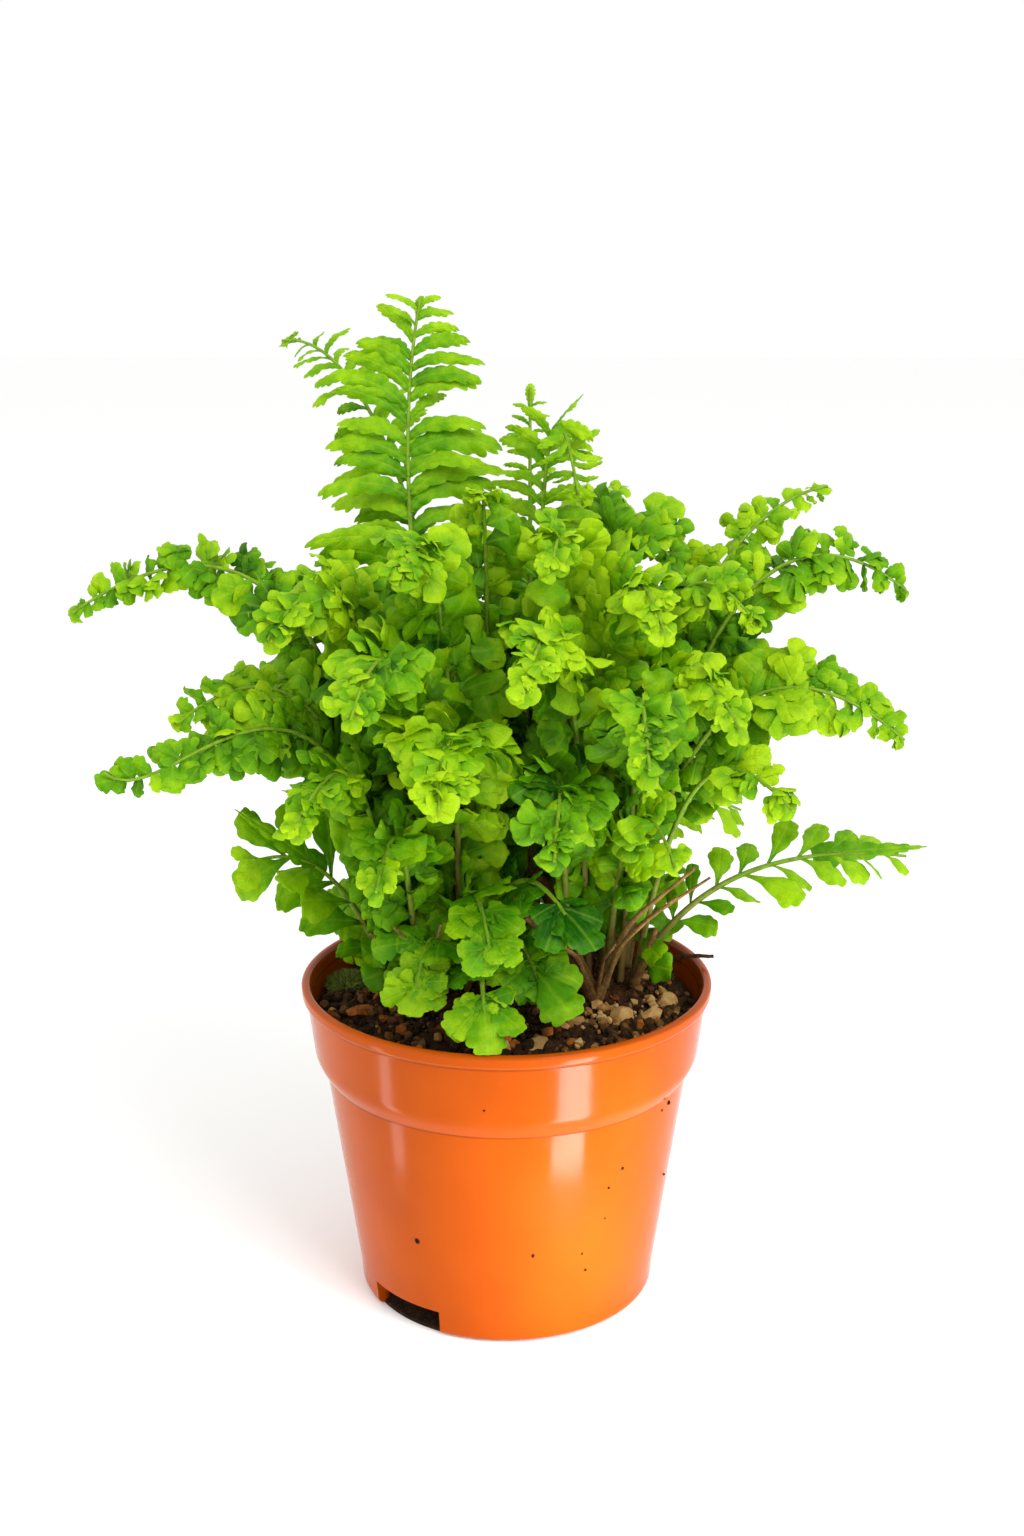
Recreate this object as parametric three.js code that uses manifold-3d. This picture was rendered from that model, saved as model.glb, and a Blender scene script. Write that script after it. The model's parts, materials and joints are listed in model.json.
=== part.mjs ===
// A ruffled Boston fern growing in a small plastic nursery pot.
// Millimetres, +Z up. The origin is the centre of the pot's underside, on the surface it stands on.
// The front of the plant looks along -Y, and its longest fronds reach out along -X and +X.

import * as THREE from 'three';
import { ParametricGeometry } from 'three/addons/geometries/ParametricGeometry.js';
import { mergeVertices } from 'three/addons/utils/BufferGeometryUtils.js';
import Module from 'manifold-3d';

// ---- Driving dimensions -------------------------------------------------------------------

const POT_HEIGHT = 96;
const RIM_RADIUS = 60;
const RIM_BEAD = 3.4;
const COLLAR_BOTTOM = 73;
const COLLAR_RADIUS = 56.2;
const BODY_TOP = 68;
const BODY_TOP_RADIUS = 53.2;
const FOOT_RADIUS = 43.5;
const FOOT_ROUND = 2.5;
const WALL = 1.5;
const FLOOR = 2;
const POT_SEGMENTS = 64;

const DRAIN_ANGLES = [-133, 47];
const DRAIN_HALF_ANGLE = 17;
const DRAIN_HEIGHT = 8;
const DRAIN_BACK_RADIUS = 37;

const SOIL_EDGE = 87;
const SOIL_CENTRE = 90;
const SOIL_BUMP = 0.8;
const GAP = 0.35;

const STEM_RADIUS = 1.0;
const TIP_RADIUS = 0.45;
const STEM_STEPS = 7;
const GAP_SHARE = 0.34;
const SHORTEN = 0.82;
const LEAST_REACH = 0.05;
const MOST_ROUNDS = 40;

// ---- Finishes ---------------------------------------------------------------------------------

function finish(colour, roughness) {
  return new THREE.MeshStandardMaterial({ color: colour, roughness, metalness: 0 });
}

const orangePlastic = finish(0xf47a2c, 0.35);
const darkSoil = finish(0x33241b, 0.95);
const crownWood = finish(0x5b3f28, 0.9);
const paleStone = finish(0xc2a887, 0.85);
const barkBrown = finish(0x8a5630, 0.9);
const mossGreen = finish(0x6c7a4a, 0.95);
const oldStraw = finish(0x9a7a4e, 0.85);
const freshGreen = finish(0x8fc41c, 0.55);
const deepGreen = finish(0x5c9a14, 0.55);

// ---- Solids -------------------------------------------------------------------------------------

const wasm = await Module();
wasm.setup();

// A closed geometry with its shared vertices merged, as a solid that can be joined and cut.
function toSolid(geometry) {
  const bare = geometry.clone();
  bare.deleteAttribute('normal');
  bare.deleteAttribute('uv');
  const merged = mergeVertices(bare, 1e-4);
  const corners = [];
  for (let i = 0; i < merged.index.count; i += 3) {
    const [a, b, c] = [0, 1, 2].map((k) => merged.index.getX(i + k));
    if (a !== b && b !== c && c !== a) corners.push(a, b, c);
  }
  return new wasm.Manifold(new wasm.Mesh({
    numProp: 3,
    vertProperties: new Float32Array(merged.attributes.position.array),
    triVerts: new Uint32Array(corners),
  }));
}

function toGeometry(solid) {
  const mesh = solid.getMesh();
  const geometry = new THREE.BufferGeometry();
  geometry.setAttribute('position', new THREE.BufferAttribute(mesh.vertProperties, 3));
  geometry.setIndex(new THREE.BufferAttribute(mesh.triVerts, 1));
  return geometry;
}

// A profile in (radius, height), turned round the vertical axis.
function turned(profile, segments) {
  return new THREE.LatheGeometry(profile, segments).rotateX(Math.PI / 2);
}

const degrees = (angle) => angle * Math.PI / 180;

// A repeatable number from -1 to 1 for each n.
function scatter(n) {
  const x = Math.sin(n * 12.9898) * 43758.5453;
  return 2 * (x - Math.floor(x)) - 1;
}

// ---- Pot ------------------------------------------------------------------------------------------

function potOutside(path) {
  path.lineTo(FOOT_RADIUS - FOOT_ROUND, 0);
  path.quadraticCurveTo(FOOT_RADIUS, 0, FOOT_RADIUS + 0.3, FOOT_ROUND);
  path.lineTo(BODY_TOP_RADIUS, BODY_TOP);
  path.lineTo(COLLAR_RADIUS, COLLAR_BOTTOM);
  path.lineTo(RIM_RADIUS - 1, POT_HEIGHT - RIM_BEAD);
  path.quadraticCurveTo(RIM_RADIUS + 0.4, POT_HEIGHT - RIM_BEAD, RIM_RADIUS, POT_HEIGHT - 0.6);
}

function potProfile() {
  const path = new THREE.Path();
  path.moveTo(0, 0);
  potOutside(path);
  path.lineTo(RIM_RADIUS - 0.6, POT_HEIGHT);
  path.lineTo(RIM_RADIUS - 2.6, POT_HEIGHT);
  path.lineTo(RIM_RADIUS - 3, POT_HEIGHT - RIM_BEAD);
  path.lineTo(COLLAR_RADIUS - WALL, COLLAR_BOTTOM + 1);
  path.lineTo(BODY_TOP_RADIUS - WALL, BODY_TOP + 0.5);
  path.lineTo(FOOT_RADIUS - WALL, FLOOR);
  path.lineTo(0, FLOOR);
  return path.getPoints(4);
}

// The full shape of the pot with nothing hollowed out.
function potEnvelope() {
  const path = new THREE.Path();
  path.moveTo(0, 0);
  potOutside(path);
  path.lineTo(0, POT_HEIGHT);
  return path.getPoints(4);
}

// The space of one drain notch from the radius `inner` outwards, grown at its sides and top by `extra`.
function drainBlock(angle, inner, extra) {
  const shape = new THREE.Shape();
  const half = degrees(DRAIN_HALF_ANGLE);
  const outer = RIM_RADIUS;
  const side = extra / Math.cos(half);
  shape.moveTo(inner * Math.cos(half), -inner * Math.sin(half) - side);
  shape.lineTo(outer * Math.cos(half), -outer * Math.sin(half) - side);
  shape.lineTo(outer * Math.cos(half), outer * Math.sin(half) + side);
  shape.lineTo(inner * Math.cos(half), inner * Math.sin(half) + side);
  const depth = DRAIN_HEIGHT + extra + 1;
  const block = new THREE.ExtrudeGeometry(shape, { depth, bevelEnabled: false });
  block.translate(0, 0, -1);
  block.rotateZ(degrees(angle));
  return toSolid(block);
}

function makePot() {
  const shell = toSolid(turned(potProfile(), POT_SEGMENTS));
  const envelope = toSolid(turned(potEnvelope(), POT_SEGMENTS));
  let pot = shell;
  for (const angle of DRAIN_ANGLES) {
    const pocketWalls = drainBlock(angle, DRAIN_BACK_RADIUS, WALL).intersect(envelope);
    pot = pot.add(pocketWalls);
  }
  for (const angle of DRAIN_ANGLES) {
    pot = pot.subtract(drainBlock(angle, DRAIN_BACK_RADIUS - GAP, 0));
  }
  return pot;
}

// ---- Things that lie in the potting mix ------------------------------------------------------------

// An angular lump: a twenty-sided solid with its corners pushed in and out.
function lump(size, seed, roughness, detail) {
  const geometry = new THREE.IcosahedronGeometry(0.5, detail);
  geometry.deleteAttribute('normal');
  geometry.deleteAttribute('uv');
  const merged = mergeVertices(geometry, 1e-4);
  const place = merged.attributes.position;
  for (let i = 0; i < place.count; i += 1) {
    const push = 1 + roughness * scatter(seed * 31 + i);
    place.setXYZ(i, place.getX(i) * push, place.getY(i) * push, place.getZ(i) * push);
  }
  merged.scale(size[0], size[1], size[2]);
  return merged;
}

// [name, size, turn in degrees, place]
const STONES = [
  ['gravel_1', [9, 7.5, 6], 20, [33, -17, 89.6]],
  ['gravel_2', [8, 6, 5.5], -35, [42, -14, 89.4]],
  ['gravel_3', [7, 6, 5], 70, [47, -3, 89]],
  ['gravel_4', [9, 6, 5.5], 40, [9, -35, 89.6]],
];

const BARK = [
  ['bark_chip', [11, 6, 3.6], 25, [-42, -12, 89.4]],
];

function makeLumps(rows, roughness, colour) {
  return rows.map(([name, size, turn, place], i) => {
    const geometry = lump(size, i + 3, roughness, 0);
    geometry.rotateZ(degrees(turn));
    geometry.translate(...place);
    return { name, geometry, colour };
  });
}

function makeMoss() {
  const geometry = lump([20, 11, 6], 5, 0.08, 1);
  geometry.rotateZ(degrees(75));
  geometry.translate(-48, 12, 87.6);
  return { name: 'moss_patch', geometry, colour: mossGreen };
}

// The three clumps of woody crown that the fronds rise from.
const CROWNS = {
  right: { name: 'crown_right', size: [25, 25, 12], place: [27, 5, 90.5] },
  left: { name: 'crown_left', size: [27, 24, 12], place: [-20, -1, 90.5] },
  back: { name: 'crown_back', size: [30, 22, 12], place: [3, 28, 90.5] },
};

function makeCrown({ name, size, place }, seed) {
  const geometry = lump(size, seed, 0.06, 1);
  geometry.translate(...place);
  return { name, geometry, colour: crownWood };
}

// ---- Potting mix -----------------------------------------------------------------------------------

function soilProfile() {
  const inset = WALL + GAP;
  const path = new THREE.Path();
  path.moveTo(0, FLOOR + GAP);
  path.lineTo(FOOT_RADIUS - inset, FLOOR + GAP);
  path.lineTo(BODY_TOP_RADIUS - inset, BODY_TOP + 1.3);
  path.lineTo(COLLAR_RADIUS - inset - 0.3, COLLAR_BOTTOM + 2);
  path.lineTo(RIM_RADIUS - 3.7 - GAP, SOIL_EDGE);
  for (let step = 1; step <= 6; step += 1) {
    const share = step / 6;
    const radius = (RIM_RADIUS - 3.7 - GAP) * (1 - share);
    path.lineTo(radius, SOIL_EDGE + (SOIL_CENTRE - SOIL_EDGE) * Math.sin(share * Math.PI / 2));
  }
  return path.getPoints(1);
}

// The mix fills the pot, is lumpy on top, and is hollowed where something lies in it.
function makeSoil(lying) {
  const geometry = turned(soilProfile(), 36);
  const place = geometry.attributes.position;
  const edge = RIM_RADIUS - 5;
  for (let i = 0; i < place.count; i += 1) {
    const [x, y, z] = [place.getX(i), place.getY(i), place.getZ(i)];
    const onTop = z > SOIL_EDGE + 0.2 && Math.hypot(x, y) < edge;
    if (onTop) place.setZ(i, z + SOIL_BUMP * Math.sin(x / 4.3) * Math.cos(y / 5.1));
  }
  let soil = toSolid(geometry);
  for (const angle of DRAIN_ANGLES) {
    soil = soil.subtract(drainBlock(angle, DRAIN_BACK_RADIUS - 2 * GAP, WALL + GAP));
  }
  for (const { geometry: thing } of lying) {
    soil = soil.subtract(toSolid(grown(thing, GAP)));
  }
  return soil;
}

// A geometry made larger by `extra` on each side, about its own middle.
function grown(geometry, extra) {
  const copy = geometry.clone();
  copy.computeBoundingBox();
  const middle = copy.boundingBox.getCenter(new THREE.Vector3());
  const size = copy.boundingBox.getSize(new THREE.Vector3());
  copy.translate(-middle.x, -middle.y, -middle.z);
  copy.scale(1 + 2 * extra / size.x, 1 + 2 * extra / size.y, 1 + 2 * extra / size.z);
  copy.translate(middle.x, middle.y, middle.z);
  return copy;
}

// ---- Fronds ----------------------------------------------------------------------------------------

// Each row is one frond, grown as one piece: the stem, the midrib and its leaflets.
//   style   what its leaflets are like, and its name
//   crown   the clump it rises from
//   foot    where on the clump: a bearing in degrees and a distance from the clump's middle
//   tip     the point of the frond
//   arch    what its arch is aimed at: a share of the way out to the tip, a height, and any swing
//           to the left of that way
//   rise    the same for its lower part, where that isn't simply upright
//   half    half its widest width
//   pairs   pairs of leaflets
//   bare    the share of its length that is bare stem
//   faces   the bearing that its upper side tips towards, where it isn't that of the tip
const FRONDS = [
  // Tall fronds, in the middle.
  { style: 'tall', crown: 'left', foot: [80, 8], tip: [-24, 25, 289], arch: [1, 232, 12],
    half: 21, pairs: 15, bare: 0.32, faces: -80 },
  { style: 'tall', crown: 'back', foot: [165, 9], tip: [-67, 62, 274], arch: [0.5, 280],
    half: 13, pairs: 13, bare: 0.36, faces: 215 },
  { style: 'tall', crown: 'back', foot: [60, 6], tip: [7, 44, 262], arch: [0.5, 240],
    half: 9, pairs: 11, bare: 0.4, faces: -90 },
  { style: 'tall', crown: 'back', foot: [-60, 7], tip: [20, 2, 237], arch: [0.2, 296],
    half: 13, pairs: 13, bare: 0.36, faces: -50 },
  // Long fronds that reach out to the sides.
  { style: 'long', crown: 'left', foot: [165, 10], tip: [-122, -2, 204], arch: [0.3, 248],
    half: 10, pairs: 15, bare: 0.34 },
  { style: 'long', crown: 'right', foot: [60, 8], tip: [95, 45, 233], arch: [0.42, 230],
    half: 10, pairs: 14, bare: 0.36 },
  { style: 'long', crown: 'right', foot: [25, 9], tip: [114, 10, 208], arch: [0.42, 246],
    half: 11, pairs: 15, bare: 0.36 },
  { style: 'long', crown: 'right', foot: [-10, 7], tip: [110, -17, 172], arch: [0.42, 210],
    half: 12, pairs: 15, bare: 0.34 },
  { style: 'long', crown: 'left', foot: [213, 9], tip: [-106, -45, 171], rise: [0.18, 232], arch: [0.8, 152],
    half: 10, pairs: 14, bare: 0.34 },
  { style: 'long', crown: 'left', foot: [192, 9], tip: [-90, -23, 178], arch: [0.4, 208],
    half: 11, pairs: 13, bare: 0.36 },
  // Low thin fronds with spoon-shaped leaflets.
  { style: 'low', crown: 'right', foot: [-10, 11], tip: [117, 8, 130], arch: [0.4, 136],
    half: 10, pairs: 9, bare: 0.3 },
  { style: 'low', crown: 'left', foot: [190, 13], tip: [-73, -25, 138], arch: [0.5, 145],
    half: 13, pairs: 8, bare: 0.3 },
  { style: 'low', crown: 'back', foot: [30, 12], tip: [74, 60, 128], arch: [0.5, 146],
    half: 11, pairs: 8, bare: 0.34 },
  { style: 'low', crown: 'back', foot: [160, 13], tip: [-66, 64, 124], arch: [0.5, 146],
    half: 11, pairs: 8, bare: 0.34 },
  // Young fronds at the front, with a few broad leaflets.
  { style: 'young', crown: 'left', foot: [-80, 9], tip: [-25, -42, 104], arch: [0.5, 128],
    half: 13, pairs: 3, bare: 0.4 },
  { style: 'young', crown: 'left', foot: [-40, 11], tip: [-5, -56, 99], arch: [0.5, 122],
    half: 11, pairs: 3, bare: 0.42 },
  { style: 'young', crown: 'left', foot: [-10, 12], tip: [12, -40, 101], arch: [0.5, 126],
    half: 13, pairs: 3, bare: 0.42 },
  { style: 'young', crown: 'left', foot: [160, 12], tip: [-43, 2, 103], arch: [0.5, 134],
    half: 9, pairs: 4, bare: 0.4 },
  { style: 'young', crown: 'left', foot: [-40, 7], tip: [-4, -60, 126], arch: [0.5, 146],
    half: 11, pairs: 5, bare: 0.36 },
  { style: 'young', crown: 'left', foot: [10, 10], tip: [20, -52, 126], arch: [0.5, 148],
    half: 12, pairs: 5, bare: 0.36 },
  // Ruffled fronds that make the mound: the upper ones first.
  { style: 'ruffled', crown: 'back', foot: [-130, 9], tip: [-7, -12, 238], arch: [0.5, 246],
    half: 13, pairs: 11, bare: 0.4, faces: -90 },
  { style: 'ruffled', crown: 'right', foot: [150, 8], tip: [12, -40, 224], arch: [0.4, 252],
    half: 14, pairs: 11, bare: 0.4 },
  { style: 'ruffled', crown: 'back', foot: [0, 9], tip: [48, 20, 214], arch: [0.4, 254],
    half: 14, pairs: 11, bare: 0.4 },
  { style: 'ruffled', crown: 'back', foot: [45, 8], tip: [40, 66, 220], arch: [0.4, 250],
    half: 14, pairs: 11, bare: 0.4 },
  { style: 'ruffled', crown: 'back', foot: [-170, 11], tip: [-52, 54, 208], arch: [0.4, 246],
    half: 13, pairs: 11, bare: 0.4 },
  { style: 'ruffled', crown: 'left', foot: [20, 5], tip: [-26, -54, 224], arch: [0.4, 250],
    half: 14, pairs: 11, bare: 0.4 },
  { style: 'ruffled', crown: 'left', foot: [170, 5], tip: [-62, -42, 206], arch: [0.4, 242],
    half: 13, pairs: 11, bare: 0.4 },
  { style: 'ruffled', crown: 'right', foot: [-170, 4], tip: [40, -60, 212], arch: [0.4, 244],
    half: 14, pairs: 11, bare: 0.42 },
  // The front of the mound.
  { style: 'ruffled', crown: 'left', foot: [-110, 5], tip: [-38, -78, 194], arch: [0.4, 226],
    half: 14, pairs: 10, bare: 0.34 },
  { style: 'ruffled', crown: 'right', foot: [-110, 9], tip: [4, -84, 202], arch: [0.4, 234],
    half: 14, pairs: 10, bare: 0.32 },
  { style: 'ruffled', crown: 'right', foot: [-52, 10], tip: [35, -88, 184], arch: [0.4, 216],
    half: 13, pairs: 10, bare: 0.34 },
  { style: 'ruffled', crown: 'right', foot: [-50, 5], tip: [60, -58, 186], arch: [0.4, 218],
    half: 13, pairs: 10, bare: 0.34 },
  { style: 'ruffled', crown: 'left', foot: [-30, 6], tip: [-16, -94, 176], arch: [0.4, 204],
    half: 14, pairs: 10, bare: 0.34 },
  { style: 'ruffled', crown: 'right', foot: [-130, 12], tip: [12, -86, 160], arch: [0.4, 188],
    half: 13, pairs: 9, bare: 0.3 },
  { style: 'ruffled', crown: 'left', foot: [-140, 12], tip: [-54, -68, 162], arch: [0.4, 190],
    half: 13, pairs: 9, bare: 0.3 },
  { style: 'ruffled', crown: 'left', foot: [-115, 11], tip: [-33, -72, 147], arch: [0.4, 168],
    half: 12, pairs: 8, bare: 0.3 },
  { style: 'ruffled', crown: 'right', foot: [-80, 11], tip: [44, -62, 150], arch: [0.4, 172],
    half: 12, pairs: 8, bare: 0.32 },
  { style: 'ruffled', crown: 'right', foot: [-35, 12], tip: [76, -44, 160], arch: [0.4, 184],
    half: 12, pairs: 9, bare: 0.3 },
  // The sides and back of the mound.
  { style: 'ruffled', crown: 'left', foot: [120, 4], tip: [-63, 12, 205], arch: [0.4, 234],
    half: 14, pairs: 11, bare: 0.4 },
  { style: 'ruffled', crown: 'right', foot: [60, 2], tip: [68, -14, 204], arch: [0.4, 240],
    half: 14, pairs: 11, bare: 0.4 },
  { style: 'ruffled', crown: 'right', foot: [40, 12], tip: [61, 17, 146], arch: [0.4, 176],
    half: 12, pairs: 9, bare: 0.38 },
  { style: 'ruffled', crown: 'back', foot: [15, 13], tip: [72, 70, 176], arch: [0.4, 214],
    half: 13, pairs: 10, bare: 0.38 },
  { style: 'ruffled', crown: 'back', foot: [80, 8], tip: [14, 96, 192], arch: [0.4, 228],
    half: 14, pairs: 10, bare: 0.4 },
  { style: 'ruffled', crown: 'back', foot: [120, 9], tip: [-36, 92, 178], arch: [0.4, 212],
    half: 14, pairs: 10, bare: 0.4 },
  { style: 'ruffled', crown: 'back', foot: [100, 10], tip: [-4, 90, 144], arch: [0.4, 168],
    half: 12, pairs: 9, bare: 0.38 },
  { style: 'ruffled', crown: 'left', foot: [100, 11], tip: [-86, 38, 168], arch: [0.4, 202],
    half: 13, pairs: 10, bare: 0.38 },
];

function frondCurve(row) {
  const clump = CROWNS[row.crown];
  const [bearing, distance] = row.foot;
  const side = new THREE.Vector3(Math.cos(degrees(bearing)), Math.sin(degrees(bearing)), 0);
  const foot = new THREE.Vector3(clump.place[0], clump.place[1], 0).addScaledVector(side, distance);
  const [halfX, halfY] = [clump.size[0] / 2, clump.size[1] / 2];
  const out = Math.hypot((foot.x - clump.place[0]) / halfX, (foot.y - clump.place[1]) / halfY);
  const dome = clump.size[2] / 2 * Math.sqrt(Math.max(0, 1 - out * out));
  foot.z = Math.max(clump.place[2] + dome, SOIL_CENTRE) + 1.2;
  const tip = new THREE.Vector3(...row.tip);
  const [riseShare, riseHeight] = row.rise ?? [0.06, 0.45 * foot.z + 0.55 * row.arch[1]];
  const near = foot.clone().lerp(tip, riseShare).addScaledVector(side, distance * 0.6);
  near.z = riseHeight;
  const [archShare, archHeight, swing = 0] = row.arch;
  const leftward = new THREE.Vector3(foot.y - tip.y, tip.x - foot.x, 0).normalize();
  const far = foot.clone().lerp(tip, archShare).addScaledVector(leftward, swing);
  far.z = archHeight;
  return new THREE.CubicBezierCurve3(foot, near, far, tip);
}

// How wide the blade is along its length: full soon after its start, then drawn out to the tip.
function bladeOutline(share) {
  const start = 0.55 + 0.45 * Math.sin(Math.min(share / 0.3, 1) * Math.PI / 2);
  return start * Math.sqrt(Math.max(0, 1 - Math.pow(share, 2.2)));
}

// The places along a frond: bare stem first, then a notch and a leaflet in turn.
function frondStations(row) {
  const curve = frondCurve(row);
  const heading = row.faces === undefined
    ? Math.atan2(row.tip[1] - curve.v0.y, row.tip[0] - curve.v0.x)
    : degrees(row.faces);
  const across = new THREE.Vector3(Math.sin(heading), -Math.cos(heading), 0);
  const steps = STEM_STEPS + 2 * row.pairs + 1;
  const stations = [];
  for (let i = 0; i <= steps; i += 1) {
    const onBlade = i - STEM_STEPS;
    const share = Math.max(0, onBlade / (steps - STEM_STEPS));
    const along = i < STEM_STEPS ? row.bare * i / STEM_STEPS : row.bare + (1 - row.bare) * share;
    const centre = curve.getPointAt(along);
    const forward = curve.getTangentAt(along);
    const side = across.clone().addScaledVector(forward, -across.dot(forward)).normalize();
    const above = side.clone().cross(forward).normalize();
    const isLeaflet = onBlade > 0 && onBlade % 2 === 0;
    const isNotch = onBlade > 0 && onBlade % 2 === 1;
    const width = row.half * bladeOutline(share) * (isLeaflet ? 1 : GAP_SHARE);
    const thick = STEM_RADIUS + (TIP_RADIUS - STEM_RADIUS) * along;
    const reach = isLeaflet || isNotch ? Math.max(width, thick) : thick;
    stations.push({ centre, side, above, thick, reach, left: 1, right: 1 });
  }
  return stations;
}

// A closed skin round the stations: left edge, keel, right edge and ridge.
function frondGeometry(stations, extra) {
  const steps = stations.length - 1;
  const surface = (u, v, target) => {
    const at = stations[Math.round(v * steps)];
    const corner = Math.round(u * 4) % 4;
    const isEnd = v < 0.5 / steps || v > 1 - 0.5 / steps;
    target.copy(at.centre);
    if (isEnd) return;
    const edge = (share) => Math.max(at.reach * share, at.thick) + extra;
    if (corner === 0) target.addScaledVector(at.side, edge(at.left));
    if (corner === 1) target.addScaledVector(at.above, -at.thick - extra);
    if (corner === 2) target.addScaledVector(at.side, -edge(at.right));
    if (corner === 3) target.addScaledVector(at.above, at.thick + extra);
  };
  return new ParametricGeometry(surface, 4, steps);
}

// Leaflets that would grow into a neighbour are cut short until the frond is clear of everything.
function fitFrond(stations, taken) {
  for (let round = 0; round < MOST_ROUNDS; round += 1) {
    const clash = toSolid(frondGeometry(stations, GAP)).intersect(taken);
    if (clash.isEmpty()) return true;
    for (const piece of clash.decompose()) {
      const box = piece.boundingBox();
      const low = new THREE.Vector3(...box.min);
      const high = new THREE.Vector3(...box.max);
      const middle = low.clone().add(high).multiplyScalar(0.5);
      const near = low.distanceTo(high) / 2 + 1;
      for (const at of stations) shortenNear(at, middle, near);
    }
  }
  return false;
}

function shortenNear(at, middle, near) {
  const offset = middle.clone().sub(at.centre);
  const sideways = offset.dot(at.side);
  const key = sideways > 0 ? 'left' : 'right';
  const reach = at.reach * at[key];
  const held = Math.min(Math.abs(sideways), reach) * Math.sign(sideways);
  const away = offset.addScaledVector(at.side, -held).length();
  if (away < near) at[key] = Math.max(at[key] * SHORTEN, LEAST_REACH);
}

// ---- Old stalks and a fallen twig -------------------------------------------------------------------

// [name, radius at the foot, radius at the end, points along it]
const STALKS = [
  ['old_stalk_1', 2.4, 1.6, [[20.5, 6, 97.2], [17, 2, 110], [8, -2, 129]]],
  ['old_stalk_2', 1.4, 0.9, [[37.5, -5, 96], [40, -9, 104], [43, -10, 114]]],
  ['fallen_twig', 0.8, 0.5, [[45, 13, 92.4], [52, 11, 97.4], [61.5, 8.5, 98.4]]],
];

function makeStalk([name, footRadius, endRadius, points]) {
  const curve = new THREE.QuadraticBezierCurve3(...points.map((p) => new THREE.Vector3(...p)));
  const steps = 8;
  const stations = [];
  for (let i = 0; i <= steps; i += 1) {
    const forward = curve.getTangentAt(i / steps);
    const side = new THREE.Vector3(0, 1, 0).cross(forward).normalize();
    const above = side.clone().cross(forward).normalize();
    const thick = footRadius + (endRadius - footRadius) * i / steps;
    const centre = curve.getPointAt(i / steps);
    stations.push({ centre, side, above, thick, reach: thick, left: 1, right: 1 });
  }
  return { name, geometry: frondGeometry(stations, 0), colour: oldStraw };
}

// ---- The plant in its pot ---------------------------------------------------------------------------

const potted = new THREE.Group();

function addPiece(name, geometry, material) {
  const mesh = new THREE.Mesh(geometry, material);
  mesh.name = name;
  potted.add(mesh);
}

const crowns = Object.values(CROWNS).map((row, i) => makeCrown(row, i + 11));
const bedded = [
  ...crowns,
  ...makeLumps(STONES, 0.12, paleStone),
  ...makeLumps(BARK, 0.1, barkBrown),
  makeMoss(),
];
const stalks = STALKS.map(makeStalk);
const pot = makePot();
const soil = makeSoil(bedded);

addPiece('pot', toGeometry(pot), orangePlastic);
addPiece('potting_mix', toGeometry(soil), darkSoil);
for (const { name, geometry, colour } of [...bedded, ...stalks]) {
  addPiece(name, geometry, colour);
}

let taken = pot.add(soil);
for (const { geometry } of [...bedded, ...stalks]) {
  taken = taken.add(toSolid(geometry));
}

const counts = {};
FRONDS.forEach((row) => {
  counts[row.style] = (counts[row.style] ?? 0) + 1;
  const name = `${row.style}_frond_${counts[row.style]}`;
  const stations = frondStations(row);
  const isClear = fitFrond(stations, taken);
  if (!isClear) console.warn(`${name} still touches a neighbour`);
  const geometry = frondGeometry(stations, 0);
  addPiece(name, geometry, row.style === 'tall' || row.style === 'low' ? deepGreen : freshGreen);
  taken = taken.add(toSolid(geometry));
});

export default potted;
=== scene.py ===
# %% [markdown]
# # A ruffled fern in an orange nursery pot
# The plant is a young ruffled Boston fern, and the pot is a thin moulded plastic one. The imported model
# gives every piece its place: a simple solid for each frond, stone and stalk. This lesson loads those
# solids, reads where each one runs, and grows a finished piece in its stead.

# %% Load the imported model
import json
import math
from collections import deque
from itertools import combinations

import bmesh
import bpy
import numpy as np
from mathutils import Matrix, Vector, noise


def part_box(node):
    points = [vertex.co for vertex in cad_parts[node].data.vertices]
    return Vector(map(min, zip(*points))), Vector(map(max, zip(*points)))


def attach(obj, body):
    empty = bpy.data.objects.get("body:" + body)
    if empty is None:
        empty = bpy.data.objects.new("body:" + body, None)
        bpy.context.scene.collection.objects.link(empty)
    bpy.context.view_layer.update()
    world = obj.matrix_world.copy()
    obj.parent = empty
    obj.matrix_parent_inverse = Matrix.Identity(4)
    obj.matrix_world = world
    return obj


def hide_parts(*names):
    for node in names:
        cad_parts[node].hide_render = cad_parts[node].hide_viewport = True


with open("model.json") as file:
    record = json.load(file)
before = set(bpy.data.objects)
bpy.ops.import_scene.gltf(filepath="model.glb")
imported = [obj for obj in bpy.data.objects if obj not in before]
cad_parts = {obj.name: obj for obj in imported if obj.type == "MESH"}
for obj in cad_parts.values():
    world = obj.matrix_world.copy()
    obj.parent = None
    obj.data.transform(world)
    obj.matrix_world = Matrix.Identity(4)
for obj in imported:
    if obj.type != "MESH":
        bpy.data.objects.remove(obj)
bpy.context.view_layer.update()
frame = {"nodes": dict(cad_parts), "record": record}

MM = 0.001

# %% [markdown]
# ## Camera, floor and light
# A small plant is best seen from slightly above, so that the soil in the pot shows. The light is that
# of a white studio: an even white surround, a softbox on the right for shape, a weaker one on the left
# to fill the shadows, and two narrow strips that leave upright glints on the glossy pot. The strips lie
# low, because a pot that narrows downwards mirrors what lies on the table in front of it.

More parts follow.
